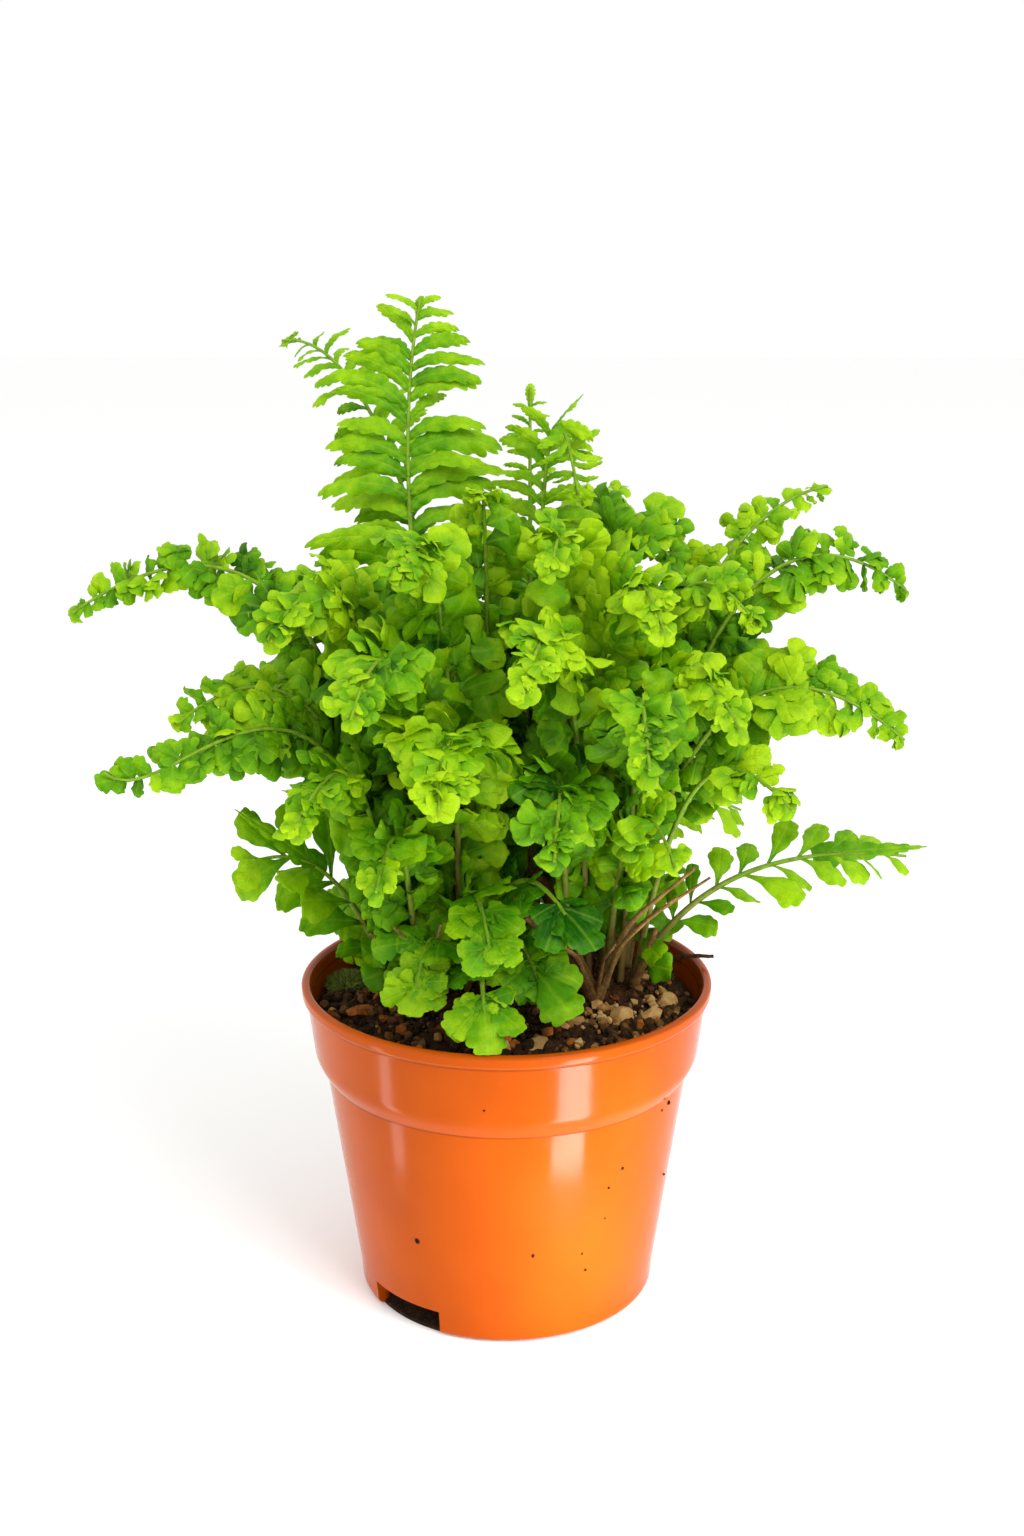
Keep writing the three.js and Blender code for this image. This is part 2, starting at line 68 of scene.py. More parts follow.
# %% Camera
CAMERA_PLACE = (0.0016, -0.585, 0.328)
CAMERA_PITCH = 16.1
camera = bpy.data.objects.new("camera", bpy.data.cameras.new("camera"))
camera.data.lens = 50
camera.data.sensor_width = 36
camera.location = CAMERA_PLACE
camera.rotation_euler = (math.radians(90 - CAMERA_PITCH), 0, 0)
bpy.context.scene.collection.objects.link(camera)
bpy.context.scene.camera = camera
bpy.context.scene.view_settings.view_transform = "Standard"
print("camera looks down by", CAMERA_PITCH, "degrees")

# %% Lamps and surround
# name, bearing round the pot in degrees, width and radiance of each glint strip
GLINTS = (("glint_right", 33, 0.034, 32.0), ("glint_left", -62, 0.014, 7.0))
GLINT_REACH, GLINT_LOW, GLINT_HIGH = 0.116, 0.014, 0.075


def add_softbox(name, place, aim, size, radiance):
    """A rectangular lamp at place that faces aim; size is its width and height."""
    lamp = bpy.data.lights.new(name, "AREA")
    lamp.shape = "RECTANGLE"
    lamp.size, lamp.size_y = size
    lamp.energy = radiance * math.pi * size[0] * size[1]
    box = bpy.data.objects.new(name, lamp)
    box.location = place
    box.rotation_euler = (Vector(aim) - Vector(place)).to_track_quat("-Z", "Y").to_euler()
    box.visible_camera = False
    bpy.context.scene.collection.objects.link(box)


surround = bpy.data.worlds.new("white_surround")
surround.use_nodes = True
surround.node_tree.nodes["Background"].inputs["Color"].default_value = (1, 1, 1, 1)
surround.node_tree.nodes["Background"].inputs["Strength"].default_value = 1.0
bpy.context.scene.world = surround
add_softbox("key_softbox", (0.55, -0.75, 0.95), (0, 0, 0.13), (0.6, 0.6), 8.0)
add_softbox("fill_softbox", (-0.8, -0.5, 0.7), (0, 0, 0.13), (0.6, 0.6), 1.6)
for name, bearing, width, radiance in GLINTS:
    # Each strip lies in front of the pot and slopes up and away from it.
    c, s = math.sin(math.radians(bearing)), -math.cos(math.radians(bearing))
    place, aim = (GLINT_REACH * c, GLINT_REACH * s, GLINT_LOW), (0.03 * c, 0.03 * s, GLINT_HIGH)
    add_softbox(name, place, aim, (width, 0.075), radiance)

# %% Floor
FLOOR_HALF = 3.0
floor_mesh = bpy.data.meshes.new("floor")
floor_mesh.from_pydata(
    [(x * FLOOR_HALF, y * FLOOR_HALF, 0) for x, y in ((-1, -1), (1, -1), (1, 1), (-1, 1))],
    [], [(0, 1, 2, 3)])
floor = bpy.data.objects.new("floor", floor_mesh)
bpy.context.scene.collection.objects.link(floor)
print("floor:", 2 * FLOOR_HALF, "m across")

# %% [markdown]
# ## Small tools for finishes
# A finish in Blender is a tree of nodes. These helpers keep each tree short to write: one makes a
# node and fills in its inputs, one makes a colour ramp, one starts a new finish around the standard
# surface node.


# %% Node helpers
class Finish:
    """A material and short ways to add nodes to it."""

    def __init__(self, name):
        self.material = bpy.data.materials.new(name)
        self.material.use_nodes = True
        self.tree = self.material.node_tree
        self.surface = self.tree.nodes["Principled BSDF"]
        self.output = self.tree.nodes["Material Output"]

    def node(self, kind, settings=None, **inputs):
        made = self.tree.nodes.new("ShaderNode" + kind)
        for key, value in (settings or {}).items():
            setattr(made, key, value)
        for key, value in inputs.items():
            self.feed(made.inputs[int(key[1:]) if key[0] == "i" and key[1:].isdigit() else key], value)
        return made

    def feed(self, socket, value):
        if isinstance(value, bpy.types.NodeSocket):
            self.tree.links.new(value, socket)
        else:
            socket.default_value = value

    def math(self, operation, first, second=0.0):
        return self.node("Math", {"operation": operation}, i0=first, i1=second).outputs[0]

    def mix(self, share, first, second):
        return self.node("Mix", {"data_type": "RGBA"}, i0=share, i6=first, i7=second).outputs[2]

    def ramp(self, value, stops):
        made = self.node("ValToRGB", None, Fac=value)
        elements = made.color_ramp.elements
        while len(elements) < len(stops):
            elements.new(0.5)
        for element, (place, colour) in zip(elements, stops):
            element.position = place
            element.color = colour
        return made.outputs[0]

    def range(self, value, low, high, new_low=0.0, new_high=1.0):
        return self.node("MapRange", None, Value=value, i1=low, i2=high, i3=new_low,
                         i4=new_high).outputs[0]

    def noise(self, scale, detail=3.0, roughness=0.55, vector=None):
        made = self.node("TexNoise", None, Scale=scale, Detail=detail, Roughness=roughness)
        self.feed(made.inputs["Vector"], vector or self.place())
        return made.outputs[0]

    def place(self, stretch=(1, 1, 1)):
        spot = self.node("TexCoord").outputs["Object"]
        return self.node("Mapping", None, Vector=spot, Scale=stretch).outputs[0]

    def bump(self, height, strength, distance, normal=None):
        made = self.node("Bump", None, Height=height, Strength=strength, Distance=distance)
        if normal is not None:
            self.feed(made.inputs["Normal"], normal)
        return made.outputs[0]

    def set(self, **inputs):
        for key, value in inputs.items():
            self.feed(self.surface.inputs[key.replace("_", " ")], value)


def rgb(red, green, blue):
    """A colour given as 0 to 255 on a screen, turned into the amounts of light Blender works in."""
    parts = [c / 255 for c in (red, green, blue)]
    return tuple(c / 12.92 if c <= 0.04045 else ((c + 0.055) / 1.055) ** 2.4 for c in parts) + (1,)


floor_finish = Finish("floor_paper")
floor_finish.set(Base_Color=(0.975, 0.975, 0.97, 1), Roughness=0.9, Specular_IOR_Level=0.1)
floor_mesh.materials.append(floor_finish.material)
print("floor finish:", floor_finish.material.name)

# %% [markdown]
# ## Small tools for pieces
# Each finished piece is a mesh built from arrays of points and faces. It is tied to the imported model
# in the same two ways every time: it rides on the body, and it stands for one or more imported solids.


# %% Piece helper
def make_piece(name, points, faces, finish, slot, nodes=(), sharp=50.0):
    """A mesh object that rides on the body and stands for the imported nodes."""
    mesh = bpy.data.meshes.new(name)
    sizes = np.array([len(face) for face in faces], np.int32) if isinstance(faces, list) else None
    flat = (np.concatenate([np.asarray(face, np.int32) for face in faces]) if sizes is not None
            else np.asarray(faces, np.int32).ravel())
    if sizes is None:
        sizes = np.full(len(faces), faces.shape[1], np.int32)
    mesh.vertices.add(len(points))
    mesh.vertices.foreach_set("co", np.asarray(points, np.float32).ravel())
    mesh.loops.add(len(flat))
    mesh.loops.foreach_set("vertex_index", flat)
    mesh.polygons.add(len(sizes))
    mesh.polygons.foreach_set("loop_start", np.concatenate([[0], np.cumsum(sizes)[:-1]]).astype(np.int32))
    mesh.update(calc_edges=True)
    mesh.validate()
    mesh.polygons.foreach_set("use_smooth", np.ones(len(mesh.polygons), bool))
    mesh.set_sharp_from_angle(angle=math.radians(sharp))
    mesh.materials.append(finish)
    piece = bpy.data.objects.new(name, mesh)
    bpy.context.scene.collection.objects.link(piece)
    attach(piece, "root")
    for node in nodes:
        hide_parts(node)
    return piece


def add_tints(piece, tints):
    """Stores four numbers for each point, which the finish reads back by the name tint."""
    layer = piece.data.attributes.new("tint", "FLOAT_COLOR", "POINT")
    layer.data.foreach_set("color", np.asarray(tints, np.float32).ravel())


slot_of = {part["node"]: part["material_slot"] for part in frame["record"]["subparts"]}
print("slots in the record:", sorted(set(slot_of.values())))

# %% [markdown]
# ## The pot
# The pot is a thin moulded shell: a tapered body, a step out to a wide collar, and a beaded lip. It
# could be a cylinder with its rings scaled, but a turned outline gives each edge its own small
# rounding in one go. The outline is drawn as corners with a radius each, and then turned.

# %% Pot sizes
POT_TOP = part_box("pot")[1].z
RIM_RADIUS = 0.0600
COLLAR_FOOT, COLLAR_RADIUS = 0.0730, 0.0562
BODY_TOP, BODY_TOP_RADIUS = 0.0680, 0.0532
COLLAR_TOP, COLLAR_TOP_RADIUS = 0.0918, 0.0585
FOOT_RADIUS = 0.0435
WALL = 0.0015
POT_TURNS = 168
print("pot:", 2 * RIM_RADIUS / MM, "mm across and", round(POT_TOP / MM, 1), "mm high")


# %% Turned outlines
def round_corners(corners, steps=5):
    """Rounds each (radius, height, rounding) corner of an open outline with a short arc."""
    outline = [corners[0][:2]]
    for (ax, ay, _), (bx, by, rounding), (cx, cy, _) in zip(corners, corners[1:], corners[2:]):
        back = np.array([ax - bx, ay - by])
        ahead = np.array([cx - bx, cy - by])
        reach = min(rounding, 0.48 * np.linalg.norm(back), 0.48 * np.linalg.norm(ahead))
        start = np.array([bx, by]) + back / np.linalg.norm(back) * reach
        end = np.array([bx, by]) + ahead / np.linalg.norm(ahead) * reach
        for share in np.linspace(0, 1, steps):
            bend = (1 - share) ** 2 * start + 2 * share * (1 - share) * np.array([bx, by]) + share ** 2 * end
            outline.append(tuple(bend))
    outline.append(corners[-1][:2])
    return outline


def turn(outline, turns):
    """Turns an outline round the upright axis into a closed mesh; its ends lie on the axis."""
    inner = np.array(outline[1:-1])
    angles = np.arange(turns) * 2 * math.pi / turns
    rings = np.stack([inner[:, :1] * np.cos(angles), inner[:, :1] * np.sin(angles),
                      np.repeat(inner[:, 1:], turns, 1)], -1).reshape(-1, 3)
    points = np.vstack([rings, [[0, 0, outline[0][1]], [0, 0, outline[-1][1]]]])
    low, high = len(rings), len(rings) + 1
    faces = []
    for k in range(turns):
        n = (k + 1) % turns
        faces.append((low, n, k))
        for ring in range(len(inner) - 1):
            a = ring * turns
            faces.append((a + k, a + n, a + turns + n, a + turns + k))
        a = (len(inner) - 1) * turns
        faces.append((a + k, a + n, high))
    return points, faces


# Radius, height and rounding of each corner, from the middle of the underside over the rim to the inside.
pot_corners = [
    (0, 0.0006, 0), (0.036, 0.0006, 0.001), (0.0375, 0, 0.001), (0.0415, 0, 0.001),
    (FOOT_RADIUS + 0.0002, 0.0012, 0.0022), (FOOT_RADIUS + 0.0005, 0.0060, 0.0030),
    (BODY_TOP_RADIUS, BODY_TOP + 0.0012, 0.0004), (COLLAR_RADIUS, COLLAR_FOOT + 0.0006, 0.0040),
    (COLLAR_TOP_RADIUS, COLLAR_TOP, 0.0006), (0.0598, 0.0925, 0.0008), (RIM_RADIUS, 0.0954, 0.0010),
    (0.0592, POT_TOP, 0.0006), (0.0578, POT_TOP, 0.0008), (0.0571, 0.0945, 0.0012), (0.0568, 0.0900, 0.0015),
    (COLLAR_RADIUS - WALL, COLLAR_FOOT + 0.001, 0.001),
    (BODY_TOP_RADIUS - WALL, BODY_TOP + 0.0005, 0.001), (0.0420, 0.0020, 0.001), (0, 0.0020, 0)]
pot_outline = round_corners(pot_corners)
print("pot outline:", len(pot_outline), "points")

# %% [markdown]
# Two drain notches are cut through the foot of the wall, each with its own little pocket so that the
# soil stays in. They are easiest as solid blocks: a slightly larger block is joined on, trimmed to
# the pot's own outer shape, and then a block of the notch's size is taken away.

# %% Drain notches
NOTCH_BEARINGS = (-133, 47)
NOTCH_HALF_ANGLE = math.radians(17)
NOTCH_HEIGHT = 0.0080
NOTCH_BACK = 0.0370
NOTCH_OUTER = 0.066


def notch_block(bearing, inner, extra):
    """A wedge-shaped block from the radius inner outwards, grown by extra at its sides and top."""
    side = extra / math.cos(NOTCH_HALF_ANGLE)
    plan = [(r * math.cos(NOTCH_HALF_ANGLE), s * (r * math.sin(NOTCH_HALF_ANGLE) + side))
            for r, s in ((inner, -1), (NOTCH_OUTER, -1), (NOTCH_OUTER, 1), (inner, 1))]
    c, s = math.cos(math.radians(bearing)), math.sin(math.radians(bearing))
    plan = [(x * c - y * s, x * s + y * c) for x, y in plan]
    low, high = -0.001, NOTCH_HEIGHT + extra
    points = [(x, y, low) for x, y in plan] + [(x, y, high) for x, y in plan]
    faces = [(3, 2, 1, 0), (4, 5, 6, 7)] + [(k, (k + 1) % 4, (k + 1) % 4 + 4, k + 4) for k in range(4)]
    return points, faces


print("notches:", len(NOTCH_BEARINGS), "of", NOTCH_HEIGHT / MM, "mm height")


# %% Cut the notches
def solid(name, points, faces):
    mesh = bpy.data.meshes.new(name)
    mesh.from_pydata([tuple(p) for p in points], [], [tuple(f) for f in faces])
    made = bpy.data.objects.new(name, mesh)
    bpy.context.scene.collection.objects.link(made)
    return made


def carve(target, steps):
    """Joins, trims or cuts target with each solid in turn, and leaves plain arrays."""
    for how, tool in steps:
        joint = target.modifiers.new("joint", "BOOLEAN")
        joint.operation, joint.solver, joint.object = how, "EXACT", tool
        target.data = bpy.data.meshes.new_from_object(
            target.evaluated_get(bpy.context.evaluated_depsgraph_get()))
        target.modifiers.clear()
    points = np.array([v.co for v in target.data.vertices])
    faces = [tuple(p.vertices) for p in target.data.polygons]
    return points, faces


def discard(*things):
    for thing in things:
        bpy.data.objects.remove(thing)


envelope_corners = pot_corners[:12] + [(0.0578, POT_TOP, 0.0002), (0, POT_TOP, 0)]
envelope = solid("envelope", *turn(round_corners(envelope_corners), POT_TURNS))
shell = solid("shell", *turn(pot_outline, POT_TURNS))
steps, tools = [], [envelope]
for bearing in NOTCH_BEARINGS:
    pocket = solid("pocket", *notch_block(bearing, NOTCH_BACK, WALL))
    carve(pocket, [("INTERSECT", envelope)])
    notch = solid("notch", *notch_block(bearing, NOTCH_BACK - 0.0004, 0))
    tools += [pocket, notch]
    steps.append(("UNION", pocket))
steps += [("DIFFERENCE", tool) for tool in tools[2::2]]
pot_points, pot_faces = carve(shell, steps)
discard(shell, *tools)
print("pot:", len(pot_points), "points,", len(pot_faces), "faces")

# %% [markdown]
# ### Orange moulded plastic
# The plastic is a strong warm orange with a satin gloss. It is never quite even: the colour drifts a
# little, and fine scuffs run round it where pots rub in a stack. Noise gives the drift and the scuffs.
# Shade is painted on as well: a dark brown in the notch pockets and under the pot, and a thin line
# along two creases. It is placed by height and by the distance from the pot's axis, because those two
# say just where the creases and the notches are.

# %% Plastic finish
# Painted shade: below this height and inside these radii lie the notch pockets and the underside, which are
# darkened.
NOTCH_SHADE_HEIGHT = 0.0096
NOTCH_SHADE_RADII = (0.0398, 0.0416)
# Height and half width of each crease that gets a thin line of painted shade.
CREASES = ((BODY_TOP + 0.0011, 0.00045), (0.0916, 0.0005))
plastic = Finish("orange_plastic")
drift = plastic.noise(30, 2)
scuffs = plastic.noise(60, 5, 0.7, plastic.place((1, 1, 2.5)))
body_colour = plastic.mix(plastic.range(drift, 0.35, 0.65), rgb(168, 70, 3), rgb(177, 76, 4))
body_colour = plastic.mix(plastic.range(scuffs, 0.6, 0.8, 0, 0.10), body_colour, rgb(196, 100, 34))
spot = plastic.node("SeparateXYZ", None, Vector=plastic.place())
height = spot.outputs[2]
squares = [plastic.math("POWER", spot.outputs[k], 2.0) for k in (0, 1)]
out_from_axis = plastic.math("SQRT", plastic.math("ADD", *squares))
# Painted shade in the notch pockets and under the pot.
painted_shade = plastic.math("MULTIPLY", plastic.math("LESS_THAN", height, NOTCH_SHADE_HEIGHT),
                     plastic.range(out_from_axis, *NOTCH_SHADE_RADII, 1, 0))
# A thin line of painted shade along each crease: at the foot of the collar and under the bead.
for crease, half_width in CREASES:
    off = plastic.math("ABSOLUTE", plastic.math("SUBTRACT", height, crease))
    painted_shade = plastic.math("MAXIMUM", painted_shade, plastic.range(off, half_width * 0.3, half_width, 0.42, 0))
# The painted shade is mixed over the orange as a dark brown.
body_colour = plastic.mix(painted_shade, body_colour, rgb(58, 24, 8))
gloss = plastic.range(scuffs, 0.35, 0.75, 0.11, 0.22)
plastic.set(Base_Color=body_colour, Roughness=gloss, Specular_IOR_Level=0.10)
plastic.set(Normal=plastic.bump(scuffs, 0.05, 0.0004))
pot = make_piece("pot_shell", pot_points, pot_faces, plastic.material, "pot_plastic", ["pot"], sharp=38)
print("pot piece:", pot.name)

# %% [markdown]
# ## Potting mix
# The mix is a dark crumbly plug that fills the pot to just below its rim. It could be a flat disc with
# a bumpy finish, but its edge shows against the plastic, so its top is a polar grid of points lifted
# by two sizes of noise. Below the top, the plug follows the inside of the wall with a hair of room,
# and two blocks are taken out of it where the pockets of the drain notches are.

# %% Ground under the plant
SOIL_EDGE_RADIUS = 0.0558
SOIL_EDGE_HEIGHT, SOIL_MIDDLE_HEIGHT = 0.0870, 0.0902


def ground_height(x, y):
    """How high the mix lies at a place, before its crumbs."""
    share = np.clip(1 - np.hypot(x, y) / SOIL_EDGE_RADIUS, 0, 1)
    wave = 0.0008 * np.sin(x / 0.0043) * np.cos(y / 0.0051)
    return SOIL_EDGE_HEIGHT + (SOIL_MIDDLE_HEIGHT - SOIL_EDGE_HEIGHT) * np.sin(share * math.pi / 2) + wave


def crumble(spot, size, depth, seed=0.0):
    """Rough noise at a spot, for the crumbly look of soil, bark and stone."""
    return depth * noise.fractal(Vector(spot) / size + Vector((seed, seed, seed)), 0.8, 2.2, 4)


RINGS, SPOKES = 46, 200
EDGE_FADE, EDGE_DIP = 0.0020, 0.0009
top_rows = []
for ring in range(1, RINGS + 1):
    radius = SOIL_EDGE_RADIUS * ring / RINGS
    for spoke in range(SPOKES):
        angle = 2 * math.pi * spoke / SPOKES
        x, y = radius * math.cos(angle), radius * math.sin(angle)
        fade = min(1.0, (SOIL_EDGE_RADIUS - radius) / EDGE_FADE)
        lift = crumble((x, y, 0), 0.0042, 0.0011) + crumble((x, y, 0.3), 0.0016, 0.0006)
        top_rows.append((x, y, float(ground_height(x, y)) + fade * lift - EDGE_DIP * (1 - fade)))
print("top of the mix:", len(top_rows), "points")

# %% The plug below the top
PLUG_GAP = 0.00035
side_outline = [(0.0542, 0.0752), (0.0512, 0.0690), (0.0417, 0.0024)]
plug_points = list(top_rows)
for radius, height in side_outline:
    for spoke in range(SPOKES):
        angle = 2 * math.pi * spoke / SPOKES
        plug_points.append((radius * math.cos(angle), radius * math.sin(angle), height))
rows = RINGS + len(side_outline)
plug_faces = []
for spoke in range(SPOKES):
    following = (spoke + 1) % SPOKES
    plug_faces.append((rows * SPOKES, spoke, following))
    for row in range(rows - 1):
        a, b = row * SPOKES, (row + 1) * SPOKES
        plug_faces.append((a + spoke, b + spoke, b + following, a + following))
    last = (rows - 1) * SPOKES
    plug_faces.append((rows * SPOKES + 1, last + following, last + spoke))
plug_points += [(0, 0, float(ground_height(0, 0))), (0, 0, side_outline[-1][1])]
plug = solid("plug", plug_points, plug_faces)
blocks = [solid("block", *notch_block(b, NOTCH_BACK - 2 * PLUG_GAP, WALL + PLUG_GAP)) for b in NOTCH_BEARINGS]
plug_points, plug_faces = carve(plug, [("DIFFERENCE", block) for block in blocks])
discard(plug, *blocks)
print("plug:", len(plug_faces), "faces")

# %% [markdown]
# ### Finish for soil, stone, bark and dry stalks
# Soil, broken stone, bark, moss and dead stalks are all matt and crumbly, and differ in colour and in
# the size of their grain. So one recipe serves them all: noise picks a colour from a ramp, finer noise
# adds pale flecks, and both raise the surface. Each lump also carries a tone of its own, because a
# heap looks real only when its crumbs differ.


# %% Soil finish
def earth_finish(name, stops, grain, rough=(0.75, 0.98), relief=1.0):
    """Crumbly matt stuff: its colour drifts, and the tint of a lump makes it darker or lighter."""
    stuff = Finish(name)
    lumps = stuff.noise(grain, 6, 0.7)
    flecks = stuff.noise(grain * 4.5, 3, 0.6)
    stored = stuff.node("Attribute", {"attribute_name": "tint"}).outputs["Color"]
    tone = stuff.node("SeparateColor", None, Color=stored).outputs[0]
    level = stuff.math("ADD", stuff.math("MULTIPLY", lumps, 0.7), stuff.math("MULTIPLY", tone, 0.55))
    colour = stuff.ramp(stuff.math("SUBTRACT", level, 0.12), stops)
    colour = stuff.mix(stuff.range(flecks, 0.6, 0.75, 0, 0.35), colour, stops[-1][1])
    stuff.set(Base_Color=colour, Roughness=stuff.range(lumps, 0.3, 0.7, *rough), Specular_IOR_Level=0.12)
    stuff.set(Normal=stuff.bump(flecks, 0.5 * relief, 0.0003, stuff.bump(lumps, 0.9 * relief, 0.0010)))
    return stuff.material


def as_tints(tones):
    """Four numbers for each tone, for a finish that reads only the first."""
    return np.stack([tones, 0 * tones, 0 * tones, 0 * tones + 1], 1)


def tint_evenly(piece, tone):
    add_tints(piece, as_tints(np.full(len(piece.data.vertices), tone)))


soil = earth_finish("dark_potting_mix", [(0.22, rgb(24, 15, 8)), (0.46, rgb(56, 37, 20)),
                                         (0.66, rgb(104, 72, 38)), (0.9, rgb(164, 124, 72))], 330)
plug_piece = make_piece("soil_plug", plug_points, plug_faces, soil, "potting_mix", ["potting_mix"], sharp=80)
tint_evenly(plug_piece, 0.28)
print("soil finish on", plug_piece.name)

# %% [markdown]
# ### Loose crumbs
# The top of the mix is a litter of crumbs. A particle system would scatter them too, but plain arrays
# keep them still and quick. Each crumb is a twenty-sided lump with its corners pushed in and out,
# which is enough for something a millimetre or two wide. The mix is lighter and grittier on the
# right, so the crumbs there are given paler tones.

# %% The shape of a lump
GOLDEN = (1 + 5 ** 0.5) / 2
LUMP_POINTS = np.array([(0, s, t * GOLDEN) for s in (-1, 1) for t in (-1, 1)]
                       + [(s, t * GOLDEN, 0) for s in (-1, 1) for t in (-1, 1)]
                       + [(s * GOLDEN, 0, t) for s in (-1, 1) for t in (-1, 1)]) / math.hypot(1, GOLDEN)


def lump_faces():
    """The twenty triangles between points that are nearest neighbours, each turned outwards."""
    gaps = np.linalg.norm(LUMP_POINTS[:, None] - LUMP_POINTS[None], axis=2)
    edge = gaps[gaps > 0].min() * 1.05
    found = []
    for a, b, c in combinations(range(len(LUMP_POINTS)), 3):
        if max(gaps[a, b], gaps[b, c], gaps[a, c]) < edge:
            pa, pb, pc = LUMP_POINTS[[a, b, c]]
            outward = np.dot(np.cross(pb - pa, pc - pa), pa) > 0
            found.append((a, b, c) if outward else (a, c, b))
    return np.array(found)


LUMP_FACES = lump_faces()
print("a lump has", len(LUMP_FACES), "faces")


# %% Scatter lumps
def unit(vector):
    return vector / np.maximum(np.linalg.norm(vector, axis=-1, keepdims=True), 1e-12)


def turns_at_random(count, dice):
    """A random rotation for each lump, as a stack of matrices."""
    first = unit(dice.normal(size=(count, 3)))
    second = unit(np.cross(first, dice.normal(size=(count, 3))))
    return np.stack([first, second, np.cross(first, second)], 2)


def scatter_lumps(places, sizes, squash, dice):
    """Jagged lumps of the given sizes at the given places, as points and faces."""
    count, corners = len(places), len(LUMP_POINTS)
    shapes = LUMP_POINTS[None] * (1 + 0.28 * dice.uniform(-1, 1, (count, corners, 1)))
    shapes = shapes * dice.uniform(squash, 1, (count, 1, 3))
    shapes = np.einsum("nij,nkj->nki", turns_at_random(count, dice), shapes)
    points = shapes * sizes[:, None, None] / 2 + places[:, None]
    faces = LUMP_FACES[None] + corners * np.arange(count)[:, None, None]
    return points.reshape(-1, 3), faces.reshape(-1, 3)


def spots_on_ground(count, dice, outer=0.0545):
    """Even random places on the mix, up to the radius outer."""
    radius = outer * np.sqrt(dice.uniform(0, 1, count))
    angle = dice.uniform(0, 2 * math.pi, count)
    x, y = radius * np.cos(angle), radius * np.sin(angle)
    return np.stack([x, y, ground_height(x, y)], 1)


def lump_piece(name, places, sizes, squash, finish, slot, dice, tones):
    """A piece of many lumps, each with its own tone."""
    points, faces = scatter_lumps(places, sizes, squash, dice)
    piece = make_piece(name, points, faces, finish, slot, sharp=25)
    add_tints(piece, np.repeat(as_tints(tones), len(LUMP_POINTS), 0))


CRUMBS = 2600
PALE_SIDE = 0.012
# How far the middle of a lump stands above the ground, as a share of its size.
RISE = 0.22
dice = np.random.default_rng(11)
crumb_places = spots_on_ground(CRUMBS, dice)
crumb_sizes = 0.0010 + 0.0036 * dice.uniform(0, 1, CRUMBS) ** 2.5
crumb_places[:, 2] += RISE * crumb_sizes
crumb_tones = 0.15 + 0.6 * dice.uniform(0, 1, CRUMBS) ** 1.8
crumb_tones = crumb_tones + 0.25 * (crumb_places[:, 0] > PALE_SIDE) * dice.uniform(0, 1, CRUMBS)
lump_piece("soil_crumbs", crumb_places, crumb_sizes, 0.5, soil, "potting_mix", dice,
           np.clip(crumb_tones, 0, 1))
print("crumbs:", CRUMBS)

# %% [markdown]
# ### Specks of dried soil on the wall
# A few splashes of soil have dried on the pot. They could be dark dots in the finish, but a raised
# speck also breaks the gloss around it, so each is a small lump sunk a little into the wall. No rule
# says where a splash lands, so their bearings and heights are listed one by one.

# %% Dried specks
# bearing in degrees, height and size in millimetres
SPECKS = ((-122, 31, 2.0), (-55, 48, 1.1), (-50, 53, 1.4), (-55, 38, 0.8), (-63, 28, 0.8), (-81, 30, 1.3),
          (-61, 22, 0.9), (-96, 79, 1.0), (-29, 67, 1.7), (-33, 66, 1.1), (-20, 40, 0.9), (60, 40, 1.3),
          (118, 55, 1.0), (152, 30, 1.6))
SPECK_SINK = 0.22
speck_places = []
for bearing, height, size in SPECKS:
    low_end, high_end = (FOOT_RADIUS, 0.0), (BODY_TOP_RADIUS, BODY_TOP)
    if height * MM > BODY_TOP:
        low_end, high_end = (COLLAR_RADIUS, COLLAR_FOOT), (COLLAR_TOP_RADIUS, COLLAR_TOP)
    radius = np.interp(height * MM, (low_end[1], high_end[1]), (low_end[0], high_end[0]))
    radius -= SPECK_SINK * size * MM
    c, s = math.cos(math.radians(bearing)), math.sin(math.radians(bearing))
    speck_places.append((radius * c, radius * s, height * MM))
speck_sizes = np.array([size for _, _, size in SPECKS]) * MM
lump_piece("dried_specks", np.array(speck_places), speck_sizes, 0.8, soil, "potting_mix", dice,
           np.zeros(len(SPECKS)))
print("specks:", len(SPECKS))

# %% [markdown]
# ### Dark soil and painted shade in the notches
# A dark bed of soil lies in each drain notch, and it is painted shade as well: it stands for the dark
# hollow under the pot, because without it the white table would shine through the pocket. The bed is a
# small curved slab, highest at the plug and thin at the outer edge, with the same crumbly noise as the
# top of the mix.


